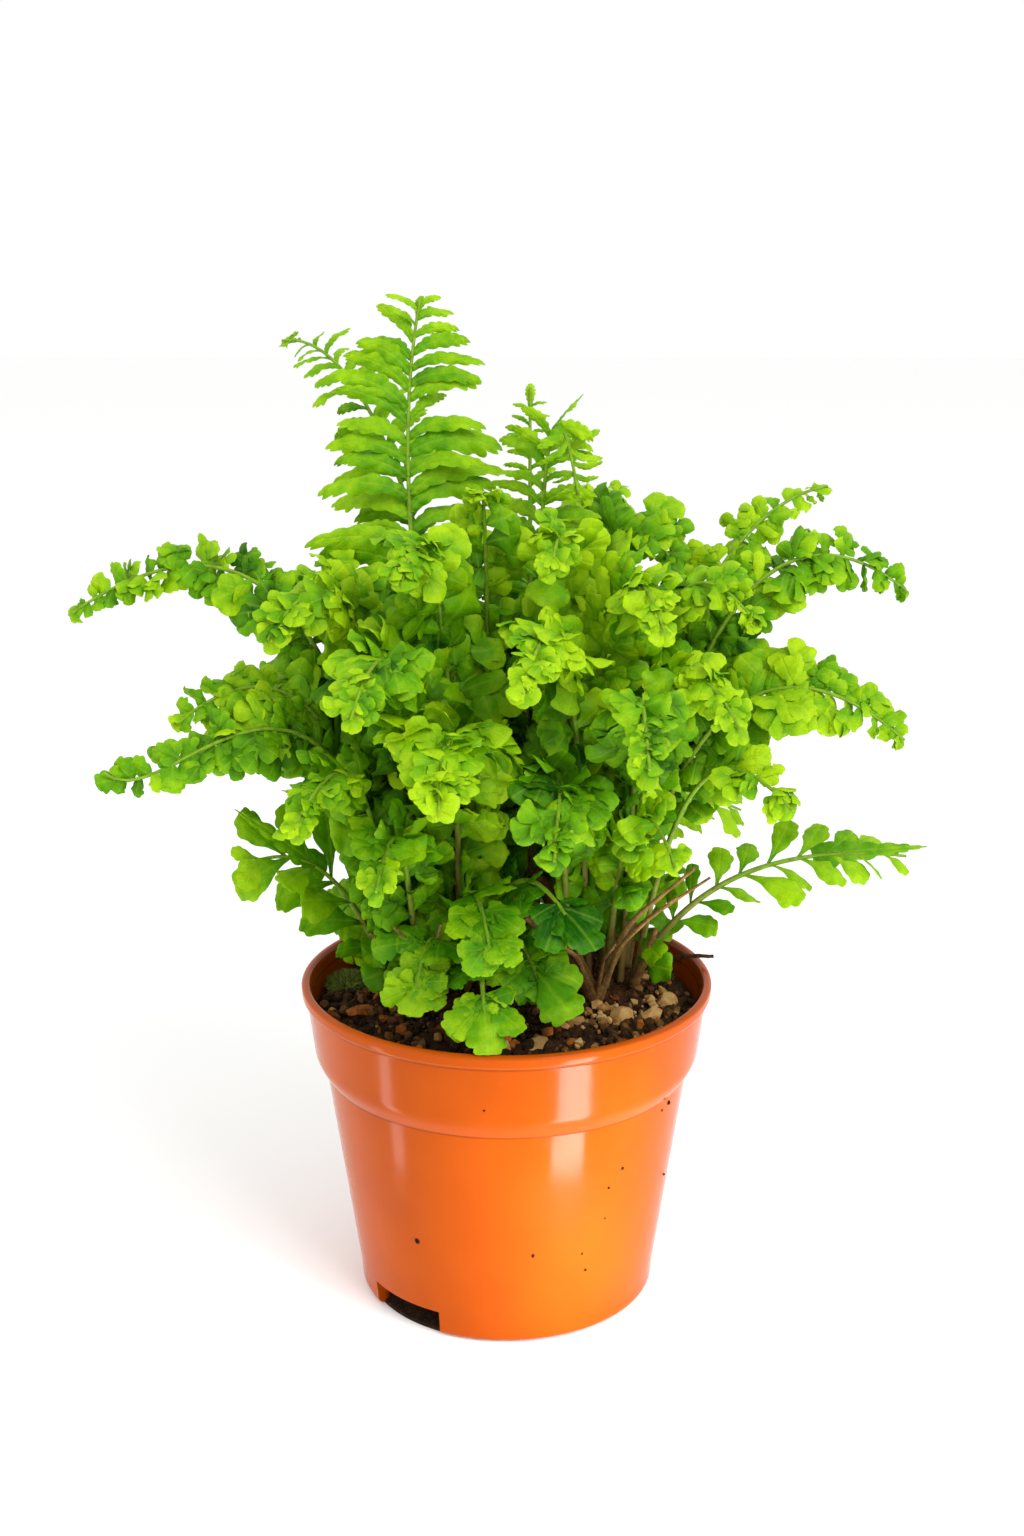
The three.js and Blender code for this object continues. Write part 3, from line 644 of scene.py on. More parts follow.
# %% Dark soil in the notches
def soil_and_shade_bed(bearing):
    """A thin crumbly bed of dark soil and painted shade in a drain notch, highest next to the plug."""
    rows, columns = 10, 16
    c, s = math.cos(math.radians(bearing)), math.sin(math.radians(bearing))
    top, low = [], []
    for row in range(rows + 1):
        for column in range(columns + 1):
            radius = 0.0352 + 0.0064 * row / rows
            angle = NOTCH_HALF_ANGLE * 0.985 * (2 * column / columns - 1)
            x, y = radius * math.cos(angle), radius * math.sin(angle)
            x = x if row else NOTCH_BACK * math.cos(NOTCH_HALF_ANGLE) - 0.0006
            height = 0.0034 - 0.0024 * row / rows + crumble((x * 3, y * 3, bearing), 0.004, 0.0005)
            top.append((x * c - y * s, x * s + y * c, max(height, 0.0004)))
            low.append((x * c - y * s, x * s + y * c, 0.0001))
    wide = columns + 1
    faces = []
    for row in range(rows):
        for column in range(columns):
            a = row * wide + column
            faces.append((a, a + wide, a + wide + 1, a + 1))
            faces.append(tuple(len(top) + k for k in (a, a + 1, a + wide + 1, a + wide)))
    rim = ([(0, k) for k in range(columns)] + [(k, columns) for k in range(rows)]
           + [(rows, k) for k in range(columns, 0, -1)] + [(k, 0) for k in range(rows, 0, -1)])
    rim = [r * wide + k for r, k in rim]
    for a, b in zip(rim, rim[1:] + rim[:1]):
        faces.append((a, b, b + len(top), a + len(top)))
    return np.array(top + low), faces


for number, bearing in enumerate(NOTCH_BEARINGS):
    bed = make_piece(f"soil_and_shade_bed_{number + 1}", *soil_and_shade_bed(bearing), soil, "potting_mix", sharp=60)
    # The darkest soil tone, which serves as the painted shade in the notch as much as for the soil.
    tint_evenly(bed, 0.1)
print("soil in", len(NOTCH_BEARINGS), "notches")

# %% [markdown]
# ## Stones
# The grit on the mix is broken stone: flat faces that meet at worn edges. A ball of points becomes
# one when it is pressed against about a dozen planes in turn, and each plane leaves a flat. The four
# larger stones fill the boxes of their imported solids, and finer grit is scattered as lumps, most of it
# on the right, where watering has washed the soil from it.


# %% Broken stones
def ball(detail=4):
    """Points and faces of a ball one unit across."""
    shape = bmesh.new()
    bmesh.ops.create_icosphere(shape, subdivisions=detail, radius=0.5)
    points = np.array([v.co for v in shape.verts])
    faces = np.array([[v.index for v in f.verts] for f in shape.faces])
    shape.free()
    return points, faces


def chipped(node, cuts, seed, roughness=0.008, keep=(0.26, 0.38)):
    """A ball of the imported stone's size and place, with flats pressed into it."""
    dice = np.random.default_rng(seed)
    points, faces = ball()
    for way, limit in zip(unit(dice.normal(size=(cuts, 3))), dice.uniform(*keep, cuts)):
        over = np.maximum(points @ way - limit, 0)
        points = points - over[:, None] * way
    wobble = [noise.noise_vector(Vector(p) * 5 + Vector((seed, 0, 0))) for p in points]
    points = points + np.array(wobble) * roughness
    points = (points - points.min(0)) / np.ptp(points, axis=0)
    low, high = (np.array(corner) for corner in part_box(node))
    return low + points * (high - low), faces


stone = earth_finish("pale_grit", [(0.2, rgb(100, 66, 28)), (0.42, rgb(156, 114, 60)),
                                   (0.62, rgb(192, 154, 96)), (0.9, rgb(224, 198, 150))],
                     260, (0.6, 0.9), 0.3)
for number in range(1, 5):
    node = f"gravel_{number}"
    piece = make_piece(node + "_stone", *chipped(node, 11, 40 + number), stone, "gravel", [node], sharp=22)
    tint_evenly(piece, 0.42 + 0.05 * number)
print("stones: 4")

# %% Fine grit
GRIT = 210
SHARE_ON_RIGHT = 0.62
grit_places = spots_on_ground(GRIT, dice, 0.052)
to_right = dice.uniform(0, 1, GRIT) < SHARE_ON_RIGHT
grit_places[to_right, 0] = np.abs(grit_places[to_right, 0]) * 0.7 + 0.014
grit_places[to_right, 1] = -0.6 * np.abs(grit_places[to_right, 1]) + 0.006
inside = np.hypot(grit_places[:, 0], grit_places[:, 1]) < 0.053
grit_places = grit_places[inside]
grit_sizes = 0.0012 + 0.0036 * dice.uniform(0, 1, len(grit_places)) ** 1.8
grit_places[:, 2] = ground_height(grit_places[:, 0], grit_places[:, 1]) + 0.35 * grit_sizes
lump_piece("fine_grit", grit_places, grit_sizes, 0.6, stone, "gravel", dice,
           dice.uniform(0.1, 0.75, len(grit_places)))
print("grit:", len(grit_places))

# %% [markdown]
# ### Bark
# The mix is partly composted bark. The one large chip is made as the stones are, but rougher, and
# smaller bits are flattened lumps in the same reddish brown.

# %% Bark
bark = earth_finish("orange_brown_bark", [(0.22, rgb(70, 34, 10)), (0.45, rgb(128, 68, 22)),
                                          (0.66, rgb(178, 104, 40)), (0.9, rgb(208, 150, 84))], 420)
piece = make_piece("bark_flake", *chipped("bark_chip", 9, 71, 0.05), bark, "bark", ["bark_chip"], sharp=24)
tint_evenly(piece, 0.5)
FLAKES = 90
flake_places = spots_on_ground(FLAKES, dice, 0.053)
flake_sizes = dice.uniform(0.0020, 0.0068, FLAKES)
flake_places[:, 2] += RISE * flake_sizes
lump_piece("bark_bits", flake_places, flake_sizes, 0.35, bark, "bark", dice, dice.uniform(0.2, 0.7, FLAKES))
print("bark bits:", FLAKES)

# %% [markdown]
# ## Moss and crowns
# Moss is a low cushion of short shoots. The crowns that the fronds rise from are knobs of old leaf
# bases covered in brown hairs. Hair particles would do for both, but would not leave the scene as
# solid pieces, so each is a rough ball with many thin spikes standing on it. A spike is a slender
# pyramid on three corners.


# %% Spikes
def spikes(feet, ways, lengths, widths, dice):
    """Slender three-sided pyramids that stand at feet and point along ways."""
    count = len(feet)
    aside = unit(np.cross(ways, dice.normal(size=(count, 3))))
    other = np.cross(ways, aside)
    corners = [feet + widths[:, None] / 2 * (math.cos(a) * aside + math.sin(a) * other)
               for a in (0, 2 * math.pi / 3, 4 * math.pi / 3)]
    points = np.stack([*corners, feet + ways * lengths[:, None]], 1)
    faces = np.array([(0, 2, 1), (0, 1, 3), (1, 2, 3), (2, 0, 3)])[None] + 4 * np.arange(count)[:, None, None]
    return points.reshape(-1, 3), faces.reshape(-1, 3)


def rough_ball(node, size, depth):
    """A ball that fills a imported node's box, roughened along its surface."""
    points, faces = ball()
    low, high = (np.array(corner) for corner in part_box(node))
    middle = (low + high) / 2
    points = middle + points * (high - low)
    push = np.array([crumble(p, size, depth) for p in points])
    return points + unit(points - middle) * push[:, None], faces, middle, (high - low) / 2


moss_low, moss_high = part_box("moss_patch")
print("moss patch:", [round(side / MM, 1) for side in moss_high - moss_low], "mm")


# %% Moss and crowns
def tufted(name, node, finish, slot, seed, count, length, width, spread, low_part=0.1):
    """A rough ball with spikes over its upper part."""
    dice = np.random.default_rng(seed)
    points, faces, middle, half = rough_ball(node, 0.0035, 0.0007)
    ways = unit(dice.normal(size=(count, 3)))
    ways[:, 2] = np.abs(ways[:, 2]) + low_part
    ways = unit(ways)
    feet = middle + ways * half * 0.93
    leans = unit(ways + spread * dice.normal(size=(count, 3)))
    tall = length * dice.uniform(0.5, 1.2, count)
    more_points, more_faces = spikes(feet, leans, tall, width * dice.uniform(0.6, 1.3, count), dice)
    every_face = np.vstack([faces, more_faces + len(points)])
    piece = make_piece(name, np.vstack([points, more_points]), every_face, finish, slot, [node], sharp=40)
    tones = np.concatenate([np.full(len(points), 0.25), np.repeat(dice.uniform(0.1, 0.8, count), 4)])
    add_tints(piece, as_tints(tones))


moss = earth_finish("grey_green_moss", [(0.2, rgb(60, 70, 24)), (0.45, rgb(108, 124, 46)),
                                        (0.66, rgb(150, 162, 78)), (0.9, rgb(188, 196, 120))], 500)
tufted("moss_cushion", "moss_patch", moss, "moss", 5, 900, 0.0018, 0.0005, 0.35)
crown = earth_finish("hairy_crown", [(0.2, rgb(32, 18, 9)), (0.45, rgb(70, 42, 20)),
                                     (0.66, rgb(116, 80, 42)), (0.9, rgb(168, 132, 82))], 380)
for number, node in enumerate(("crown_right", "crown_left", "crown_back")):
    tufted(node + "_hairs", node, crown, "crown_wood", 20 + number, 420, 0.0042, 0.0006, 0.5, 0.25)
print("moss and crowns made")

# %% [markdown]
# ## Old stalks
# Two stripped stalks of older fronds stand among the new ones, and a twig lies across the rim. Each
# is a tube that follows a bent path. Its skin is pushed in and out by stretched noise, which gives
# the long splits of dry bark.


# %% Stalk tubes
def bent_tube(path, radii, sides=12, steps=40, roughness=0.22, seed=0):
    """A rough tube through the points of a path, with the given radii from end to end."""
    path = np.array(path, float)
    shares = np.linspace(0, 1, steps)
    knots = np.linspace(0, 1, len(path))
    curve = np.stack([np.interp(shares, knots, path[:, k]) for k in range(3)], 1)
    for _ in range(6):
        curve[1:-1] = (curve[:-2] + 2 * curve[1:-1] + curve[2:]) / 4
    ahead = unit(np.gradient(curve, axis=0))
    aside = unit(np.cross(ahead, [0.3, 1, 0.2]))
    other = np.cross(ahead, aside)
    thick = np.interp(shares, np.linspace(0, 1, len(radii)), radii)
    points = []
    for row in range(steps):
        for side in range(sides):
            angle = 2 * math.pi * side / sides
            spot = Vector((2.2 * math.cos(angle), 2.2 * math.sin(angle), 9 * shares[row] + seed))
            radius = thick[row] * (1 + roughness * noise.noise(spot))
            points.append(curve[row] + radius * (math.cos(angle) * aside[row] + math.sin(angle) * other[row]))
    faces = []
    for row in range(steps - 1):
        a, b = row * sides, (row + 1) * sides
        faces += [(a + k, a + (k + 1) % sides, b + (k + 1) % sides, b + k) for k in range(sides)]
    faces += [tuple(range(sides))[::-1], tuple((steps - 1) * sides + k for k in range(sides))]
    return np.array(points), faces


dry = earth_finish("dry_stalk", [(0.2, rgb(58, 34, 16)), (0.45, rgb(104, 72, 36)),
                                 (0.66, rgb(154, 122, 68)), (0.9, rgb(202, 176, 118))], 300)
# The way in millimetres, the radii along it in millimetres, the roughness of the bark, and the tone.
STALKS = {
    "old_stalk_1": ([(20.5, 6, 97), (17.5, 3, 108), (13, 1, 119), (8, -2, 129)],
                    (2.5, 2.0, 2.3, 1.5), 0.35, 0.22),
    "old_stalk_2": ([(37.5, -5, 96), (40, -9, 104), (43, -10, 114)], (1.4, 1.1, 0.7), 0.25, 0.5),
    "fallen_twig": ([(45, 13, 92.4), (52, 11, 97.4), (57, 9.6, 98.2), (61.5, 8.5, 98.4)],
                    (0.8, 0.65, 0.5), 0.3, 0.0),
}
for number, (node, (path, radii, roughness, tone)) in enumerate(STALKS.items()):
    points, faces = bent_tube(np.array(path) * MM, np.array(radii) * MM, roughness=roughness,
                              seed=number * 7.3)
    piece = make_piece(node + "_bark", points, faces, dry, "dry_stalk", [node], sharp=60)
    tint_evenly(piece, tone)
print("stalks:", list(STALKS))

# %% [markdown]
# ### Straw stems
# Old fronds die back to thin straw-coloured stems that stay in the crown for months. They are the
# same bent tubes, only thinner, and lean out of the front of the two crowns. All of them go into one
# piece, because they are alike and nobody would take a single one out.

# %% Straw stems
# The top of each stem in millimetres, its radius at the foot in millimetres, and its tone.
STRAWS = (((5, -33, 126), 1.7, 0.20), ((9, -34, 121), 1.0, 0.55), ((2, -30, 131), 0.8, 0.40),
          ((52, -27, 138), 1.0, 0.66), ((47, -31, 131), 0.9, 0.60), ((39, -35, 126), 0.8, 0.70),
          ((57, -20, 133), 0.8, 0.55), ((30, -36, 119), 0.7, 0.62), ((-31, -31, 122), 0.9, 0.60),
          ((-18, -34, 124), 0.8, 0.66), ((-38, -25, 118), 0.8, 0.55))
RIGHT_FOOT, LEFT_FOOT = (26, -9, 92), (-20, -11, 92)


def join(parts):
    """Several (points, faces) pairs as one."""
    points, faces, start = [], [], 0
    for some_points, some_faces in parts:
        points.append(some_points)
        faces += [tuple(int(i) + start for i in face) for face in some_faces]
        start += len(some_points)
    return np.vstack(points), faces


straws, tones = [], []
for number, (top, thick, tone) in enumerate(STRAWS):
    apart = (1.5 * (number % 3 - 1), 0.8 * (number % 2), 0)
    foot = np.array(RIGHT_FOOT if top[0] > 0 else LEFT_FOOT) + apart
    middle = 0.5 * (foot + top) + (0.12 * (foot[0] - top[0]), 2.5, 3.0)
    radii = np.array((1.0, 0.75, 0.45)) * thick * MM
    straws.append(bent_tube(np.array([foot, middle, top]) * MM, radii, 8, 28, 0.3, number))
    tones += [tone] * len(straws[-1][0])
piece = make_piece("straw_stems", *join(straws), dry, "dry_stalk", sharp=60)
add_tints(piece, as_tints(np.array(tones)))
print("straw stems:", len(straws))

# %% [markdown]
# ## Fronds
# A frond is a stem that runs on as a midrib, with a row of leaflets down each side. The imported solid
# of a frond already says where its midrib runs, how far each leaflet reaches and how the blade is
# tilted, because it is a chain of four-cornered rings with one ring for each leaflet. Reading those
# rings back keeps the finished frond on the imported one, with no numbers copied by hand.

# %% Read a frond's rings
# The rings of the bare stem, below the lowest full-sized leaflets.
BARE_RINGS = 7


def welded(node):
    """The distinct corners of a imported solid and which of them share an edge."""
    mesh = frame["nodes"][node].data
    corners = np.zeros(len(mesh.vertices) * 3)
    mesh.vertices.foreach_get("co", corners)
    corners = corners.reshape(-1, 3)
    _, first, which = np.unique(np.round(corners * 1e5).astype(int), axis=0, return_index=True,
                                return_inverse=True)
    which = which.ravel()
    partners = [set() for _ in first]
    for edge in mesh.edges:
        a, b = which[edge.vertices[0]], which[edge.vertices[1]]
        if a != b:
            partners[a].add(b)
            partners[b].add(a)
    return corners[first], partners


def read_rings(node):
    """The corner numbers of each ring, from the foot to the tip."""
    corners, partners = welded(node)
    ends = [k for k, near in enumerate(partners) if len(near) == 4]
    foot = min(ends, key=lambda k: corners[k][2])
    level = {foot: 0}
    queue = deque([foot])
    while queue:
        here = queue.popleft()
        for near in partners[here]:
            if near not in level:
                level[near] = level[here] + 1
                queue.append(near)
    count = max(level.values()) + 1
    rings = [[k for k in level if level[k] == ring] for ring in range(count)]
    return corners, partners, rings


corners, _, rings = read_rings("tall_frond_1")
print("tall_frond_1:", len(corners), "corners in", len(rings), "rings")


# %% Read a frond's shape
def read_frond(node):
    """Midrib points, sideways directions and leaflet reaches of an imported frond, ring by ring."""
    corners, partners, rings = read_rings(node)
    count = len(rings)
    middle = np.array([corners[ring].mean(0) for ring in rings])
    reach = np.zeros((count, 2))
    side = np.zeros((count, 3))

    def pairs(ring):
        a = ring[0]
        across = next(k for k in ring[1:] if k not in partners[a])
        others = [k for k in ring[1:] if k != across]
        return (a, across), tuple(others)

    def settle(ring_number, heading):
        ring = rings[ring_number]
        first, second = pairs(ring)
        spans = [unit(corners[q] - corners[p]) for p, q in (first, second)]
        best = max((0, 1), key=lambda k: abs(spans[k] @ heading))
        (p, q), (r, s) = (first, second) if best == 0 else (second, first)
        if spans[best] @ heading < 0:
            p, q = q, p
        centre = (corners[r] + corners[s]) / 2
        middle[ring_number] = centre
        reach[ring_number] = [np.linalg.norm(corners[k] - centre) for k in (p, q)]
        side[ring_number] = unit(corners[q] - corners[p])
        return side[ring_number]

    start = BARE_RINGS + 4
    widest = max(pairs(rings[start]), key=lambda pq: np.linalg.norm(corners[pq[0]] - corners[pq[1]]))
    heading = unit(corners[widest[1]] - corners[widest[0]])
    for ring_number in range(start, count - 1):
        heading = settle(ring_number, heading)
    heading = side[start]
    for ring_number in range(start - 1, 0, -1):
        heading = settle(ring_number, heading)
    side[0], side[-1] = side[1], side[-2]
    ahead = unit(np.gradient(middle, axis=0))
    above = np.cross(side, ahead)
    if above[BARE_RINGS:, 2].mean() < 0:
        side, reach = -side, reach[:, ::-1]
    return middle, side, reach


sample_middle, sample_side, sample_reach = read_frond("tall_frond_1")
print("tall_frond_1 reaches", round(sample_reach.max() / MM, 1), "mm to a side")

# %% [markdown]
# ### A smooth midrib
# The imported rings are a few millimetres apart, which would leave corners in a thin stem. A curve
# object could round them, but the leaflets need to know where the midrib is and which way it faces at
# any place. So a small class rounds the line itself, with a cubic through each pair of rings.


# %% Smooth runs between rings
class Run:
    """A midrib that can be asked for its place and directions at any share of its rings."""

    def __init__(self, middle, side):
        self.middle, self.side = middle, side
        steps = np.linalg.norm(np.diff(middle, axis=0), axis=1)
        self.travel = np.concatenate([[0], np.cumsum(steps)])

    def at(self, ring):
        ring = np.clip(np.atleast_1d(np.asarray(ring, float)), 0, len(self.middle) - 1)
        low = np.minimum(ring.astype(int), len(self.middle) - 2)
        t = (ring - low)[:, None]
        padded = np.vstack([2 * self.middle[0] - self.middle[1], self.middle,
                            2 * self.middle[-1] - self.middle[-2]])
        p0, p1, p2, p3 = (padded[low + k] for k in range(4))
        place = 0.5 * (2 * p1 + (p2 - p0) * t + (2 * p0 - 5 * p1 + 4 * p2 - p3) * t ** 2
                       + (3 * p1 - p0 - 3 * p2 + p3) * t ** 3)
        ahead = unit(0.5 * ((p2 - p0) + 2 * (2 * p0 - 5 * p1 + 4 * p2 - p3) * t
                            + 3 * (3 * p1 - p0 - 3 * p2 + p3) * t ** 2))
        side = self.side[low] * (1 - t) + self.side[low + 1] * t
        side = unit(side - ahead * np.sum(side * ahead, 1)[:, None])
        return place, ahead, side, np.cross(side, ahead)

    def distance(self, ring):
        return np.interp(ring, np.arange(len(self.travel)), self.travel)


sample_run = Run(sample_middle, sample_side)
print("midrib of tall_frond_1:", round(sample_run.travel[-1] / MM), "mm long")

# %% [markdown]
# ### Leaflets
# A leaflet is a thin sheet that is never flat: it arches, cups, twists and has a wavy edge. Cloth or
# sculpting would be slow for thousands of them, so each is a small grid bent by formulas. The grid's
# rim follows an outline with rounded teeth, and the grid has an upper and a lower skin that meet at
# the rim, so each leaflet is a closed thin solid.


# %% Outlines of leaflets
def ease(value, low, high):
    share = np.clip((value - low) / (high - low), 0, 1)
    return share * share * (3 - 2 * share)


def outline(shape, t):
    """Half width, as a share of the widest, and height along the leaflet at the angle t of its rim."""
    along = (1 - np.cos(t)) / 2
    round_end = np.sin(t)
    if shape == "club":
        return round_end ** 0.6 * (0.46 + 0.62 * ease(along, 0.08, 0.8)), along
    if shape == "spear":
        return np.minimum(1, t / 0.5) ** 0.5 * (1 - along) ** 0.8 + 0.02 * round_end, along
    if shape == "round":
        return round_end ** 0.75 * (0.62 + 0.5 * along), along
    if shape == "spoon":
        return round_end ** 0.6 * (0.16 + 0.92 * ease(along, 0.12, 0.8)), along
    if shape == "fan":
        return round_end ** 0.6 * (0.12 + 0.98 * ease(along, 0.0, 0.72)), along
    return round_end ** 0.62 * (0.24 + 0.84 * ease(along, 0.0, 0.66)), along


SHAPES = ("club", "spear", "round", "spoon", "fan", "lobed")
middle_widths = [round(float(outline(shape, np.array([math.pi / 2]))[0][0]), 2) for shape in SHAPES]
print("half width in the middle:", dict(zip(SHAPES, middle_widths)))


# %% The faces of a leaflet
def leaflet_grid(steps, columns):
    """Faces of one leaflet: an upper and a lower skin that share their rim."""
    wide = columns + 1
    top = np.arange((steps + 1) * wide).reshape(steps + 1, wide)
    under = top.copy()
    inner = (steps - 1) * (columns - 1)
    under[1:-1, 1:-1] = (steps + 1) * wide + np.arange(inner).reshape(steps - 1, columns - 1)
    quads = []
    for skin, flip in ((top, False), (under, True)):
        a, b, c, d = skin[:-1, :-1], skin[:-1, 1:], skin[1:, 1:], skin[1:, :-1]
        quad = np.stack([a, b, c, d], -1).reshape(-1, 4)
        quads.append(quad[:, ::-1] if flip else quad)
    return np.vstack(quads), (steps + 1) * wide + inner


print("one leaflet of 16 by 6:", len(leaflet_grid(16, 6)[0]), "faces")

# %% Many leaflets at once
LEAF_HALF_THICKNESS = 0.00011
RIB_DENT, RIB_KEEL = 0.00012, 0.00030


def toothed_sheets(shape, teeth, depth, width, grid, dice):
    """Flat leaflets: how far aside and along each point lies, and where the teeth stand out."""
    steps, columns = grid
    t = np.linspace(0.10, math.pi - 0.07, steps + 1)
    v = np.linspace(-1, 1, columns + 1)
    half, along = outline(shape, t)
    phase = dice.uniform(0, 1, (len(width), 1, 1))
    scallop = np.abs(np.sin(math.pi * (teeth * t[None, :, None] / math.pi + 0.35 * phase * (v > 0)))) ** 0.7
    dent = 1 - depth * (1 - scallop) * ease(along, 0.06, 0.3)[None, :, None]
    hub = np.clip(along, 0.2, 0.72)[None, :, None]
    x = half[None, :, None] * v * dent
    y = hub + (along[None, :, None] - hub) * dent + 0 * v
    y = y * np.abs(v) + along[None, :, None] * (1 - np.abs(v))
    return x * width[:, None, None] / 2, y, scallop, along, v


def grow_leaflets(leaflets, traits, shape, grid, dice):
    """Points, faces and (along, across) of a set of leaflets that share an outline.

    arch, cup, ruffle, fold, twist, sweep and pucker say how the sheet is bent; one that a kind of leaflet
    doesn't name is 0.
    """
    base, out, normal, length, width, mirror = (leaflets[name] for name in (
        "place", "out", "normal", "length", "width", "mirror"))
    count = len(base)
    across = unit(np.cross(out, normal))
    normal = np.cross(across, out)
    x, y, scallop, along, v = toothed_sheets(shape, traits["teeth"], traits["depth"], width, grid, dice)
    across_share = 2 * x / width[:, None, None]

    def each(name, spread=0.3):
        centre = traits.get(name, 0.0)
        return (centre * (1 + spread * dice.normal(size=count)))[:, None, None]

    bend = each("arch", 0.35)
    bend = np.where(np.abs(bend) < 0.02, 0.02, bend)
    wave_phase = dice.uniform(0, 2 * math.pi, (count, 1, 1)) + 2.4 * (v > 0)
    waves = np.sin(2 * math.pi * traits["waves"] * y + wave_phase)
    lift = (-each("cup") * across_share ** 2 + each("ruffle") * np.abs(across_share) ** 1.6 * waves
            + each("fold") * np.abs(across_share)
            + traits.get("pucker", 0.0) * (scallop - 0.5) * np.sin(math.pi * np.abs(v)))
    lift = lift * width[:, None, None]
    turn_by = each("twist", 1.0) * y
    x_lifted = x * np.cos(turn_by) - lift * np.sin(turn_by)
    lift = x * np.sin(turn_by) + lift * np.cos(turn_by)
    x_lifted = x_lifted + each("sweep", 0.14) * mirror[:, None, None] * length[:, None, None] * y ** 2

    def placed(height):
        forward = length[:, None, None] * np.sin(bend * y) / bend + height * np.sin(bend * y)
        rise = -length[:, None, None] * (1 - np.cos(bend * y)) / bend + height * np.cos(bend * y)
        return (base[:, None, None] + out[:, None, None] * forward[..., None]
                + normal[:, None, None] * rise[..., None] + across[:, None, None] * x_lifted[..., None])

    body = 1 - np.abs(v) ** 3
    rib = np.exp(-(v / 0.16) ** 2) * (1 - 0.7 * along[:, None])
    skin = LEAF_HALF_THICKNESS * body
    top = placed(lift + (skin - RIB_DENT * rib)[None])
    under = placed(lift - (skin + RIB_KEEL * rib)[None])[:, 1:-1, 1:-1]
    faces, size = leaflet_grid(*grid)
    points = np.concatenate([top.reshape(count, -1, 3), under.reshape(count, -1, 3)], 1)
    marks = [np.concatenate([mark.reshape(count, -1), mark[:, 1:-1, 1:-1].reshape(count, -1)], 1)
             for mark in (np.broadcast_to(y, top.shape[:3]), across_share)]
    faces = faces[None] + size * np.arange(count)[:, None, None]
    return points.reshape(-1, 3), faces.reshape(-1, 4), np.stack([m.ravel() for m in marks], 1), size


print("a leaf blade is", 2 * LEAF_HALF_THICKNESS / MM, "mm thick")

# %% [markdown]
# ### Stems
# The stem of a frond is a wiry stalk about two millimetres thick that thins to a hair at the tip. A
# six-sided tube is round enough at that size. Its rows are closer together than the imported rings, so
# that it bends smoothly.

# %% Stems
STEM_SIDES = 6
STEM_RADIUS, STEM_TIP_RADIUS = 0.0010, 0.00042


def grow_stem(run, radii, ring_shares):
    """A tapering tube along a run, closed at both ends."""
    place, ahead, side, above = run.at(ring_shares)
    angles = 2 * math.pi * np.arange(STEM_SIDES) / STEM_SIDES
    rim = (side[:, None] * np.cos(angles)[None, :, None] + above[:, None] * np.sin(angles)[None, :, None])
    points = (place[:, None] + rim * np.asarray(radii)[:, None, None]).reshape(-1, 3)
    rows = len(ring_shares)
    k = np.arange(STEM_SIDES)
    n = (k + 1) % STEM_SIDES
    faces = [np.stack([r * STEM_SIDES + k, r * STEM_SIDES + n, (r + 1) * STEM_SIDES + n,
                       (r + 1) * STEM_SIDES + k], 1) for r in range(rows - 1)]
    last = (rows - 1) * STEM_SIDES
    # Two four-cornered faces close each six-sided end.
    caps = [(0, 5, 4, 3), (0, 3, 2, 1)]
    caps += [tuple(last + corner for corner in cap) for cap in ((0, 1, 2, 3), (0, 3, 4, 5))]
    return points, np.vstack(faces + [np.array(caps)])


def grow_midrib(run):
    """The stem of a frond with its tints: the first is even, and the second runs from foot to tip."""
    last = len(run.middle) - 1
    rings = np.concatenate([np.linspace(0, BARE_RINGS, 12)[:-1],
                            np.linspace(BARE_RINGS, last, 2 * (last - BARE_RINGS))])
    radii = np.interp(rings, [0, BARE_RINGS, last], [STEM_RADIUS * 1.15, STEM_RADIUS * 0.9, STEM_TIP_RADIUS])
    tints = np.stack([0 * rings + 0.5, rings / last, 0 * rings, 0 * rings + 1], 1)
    return (*grow_stem(run, radii, rings), np.repeat(tints, STEM_SIDES, 0))


print("stem of tall_frond_1:", len(grow_midrib(sample_run)[1]), "faces")

# %% [markdown]
# ### What each kind of frond is like
# There are five kinds. Tall fronds have long toothed leaflets that hang over at their ends. Long ones
# have round leaflets. Low ones have spoon-shaped leaflets and end in a long toothed tip. Young ones
# have a few broad fans. The ruffled ones make the mound: short, crowded leaflets that curl every way.
# A table of kinds keeps what differs apart from the steps that all of them share.

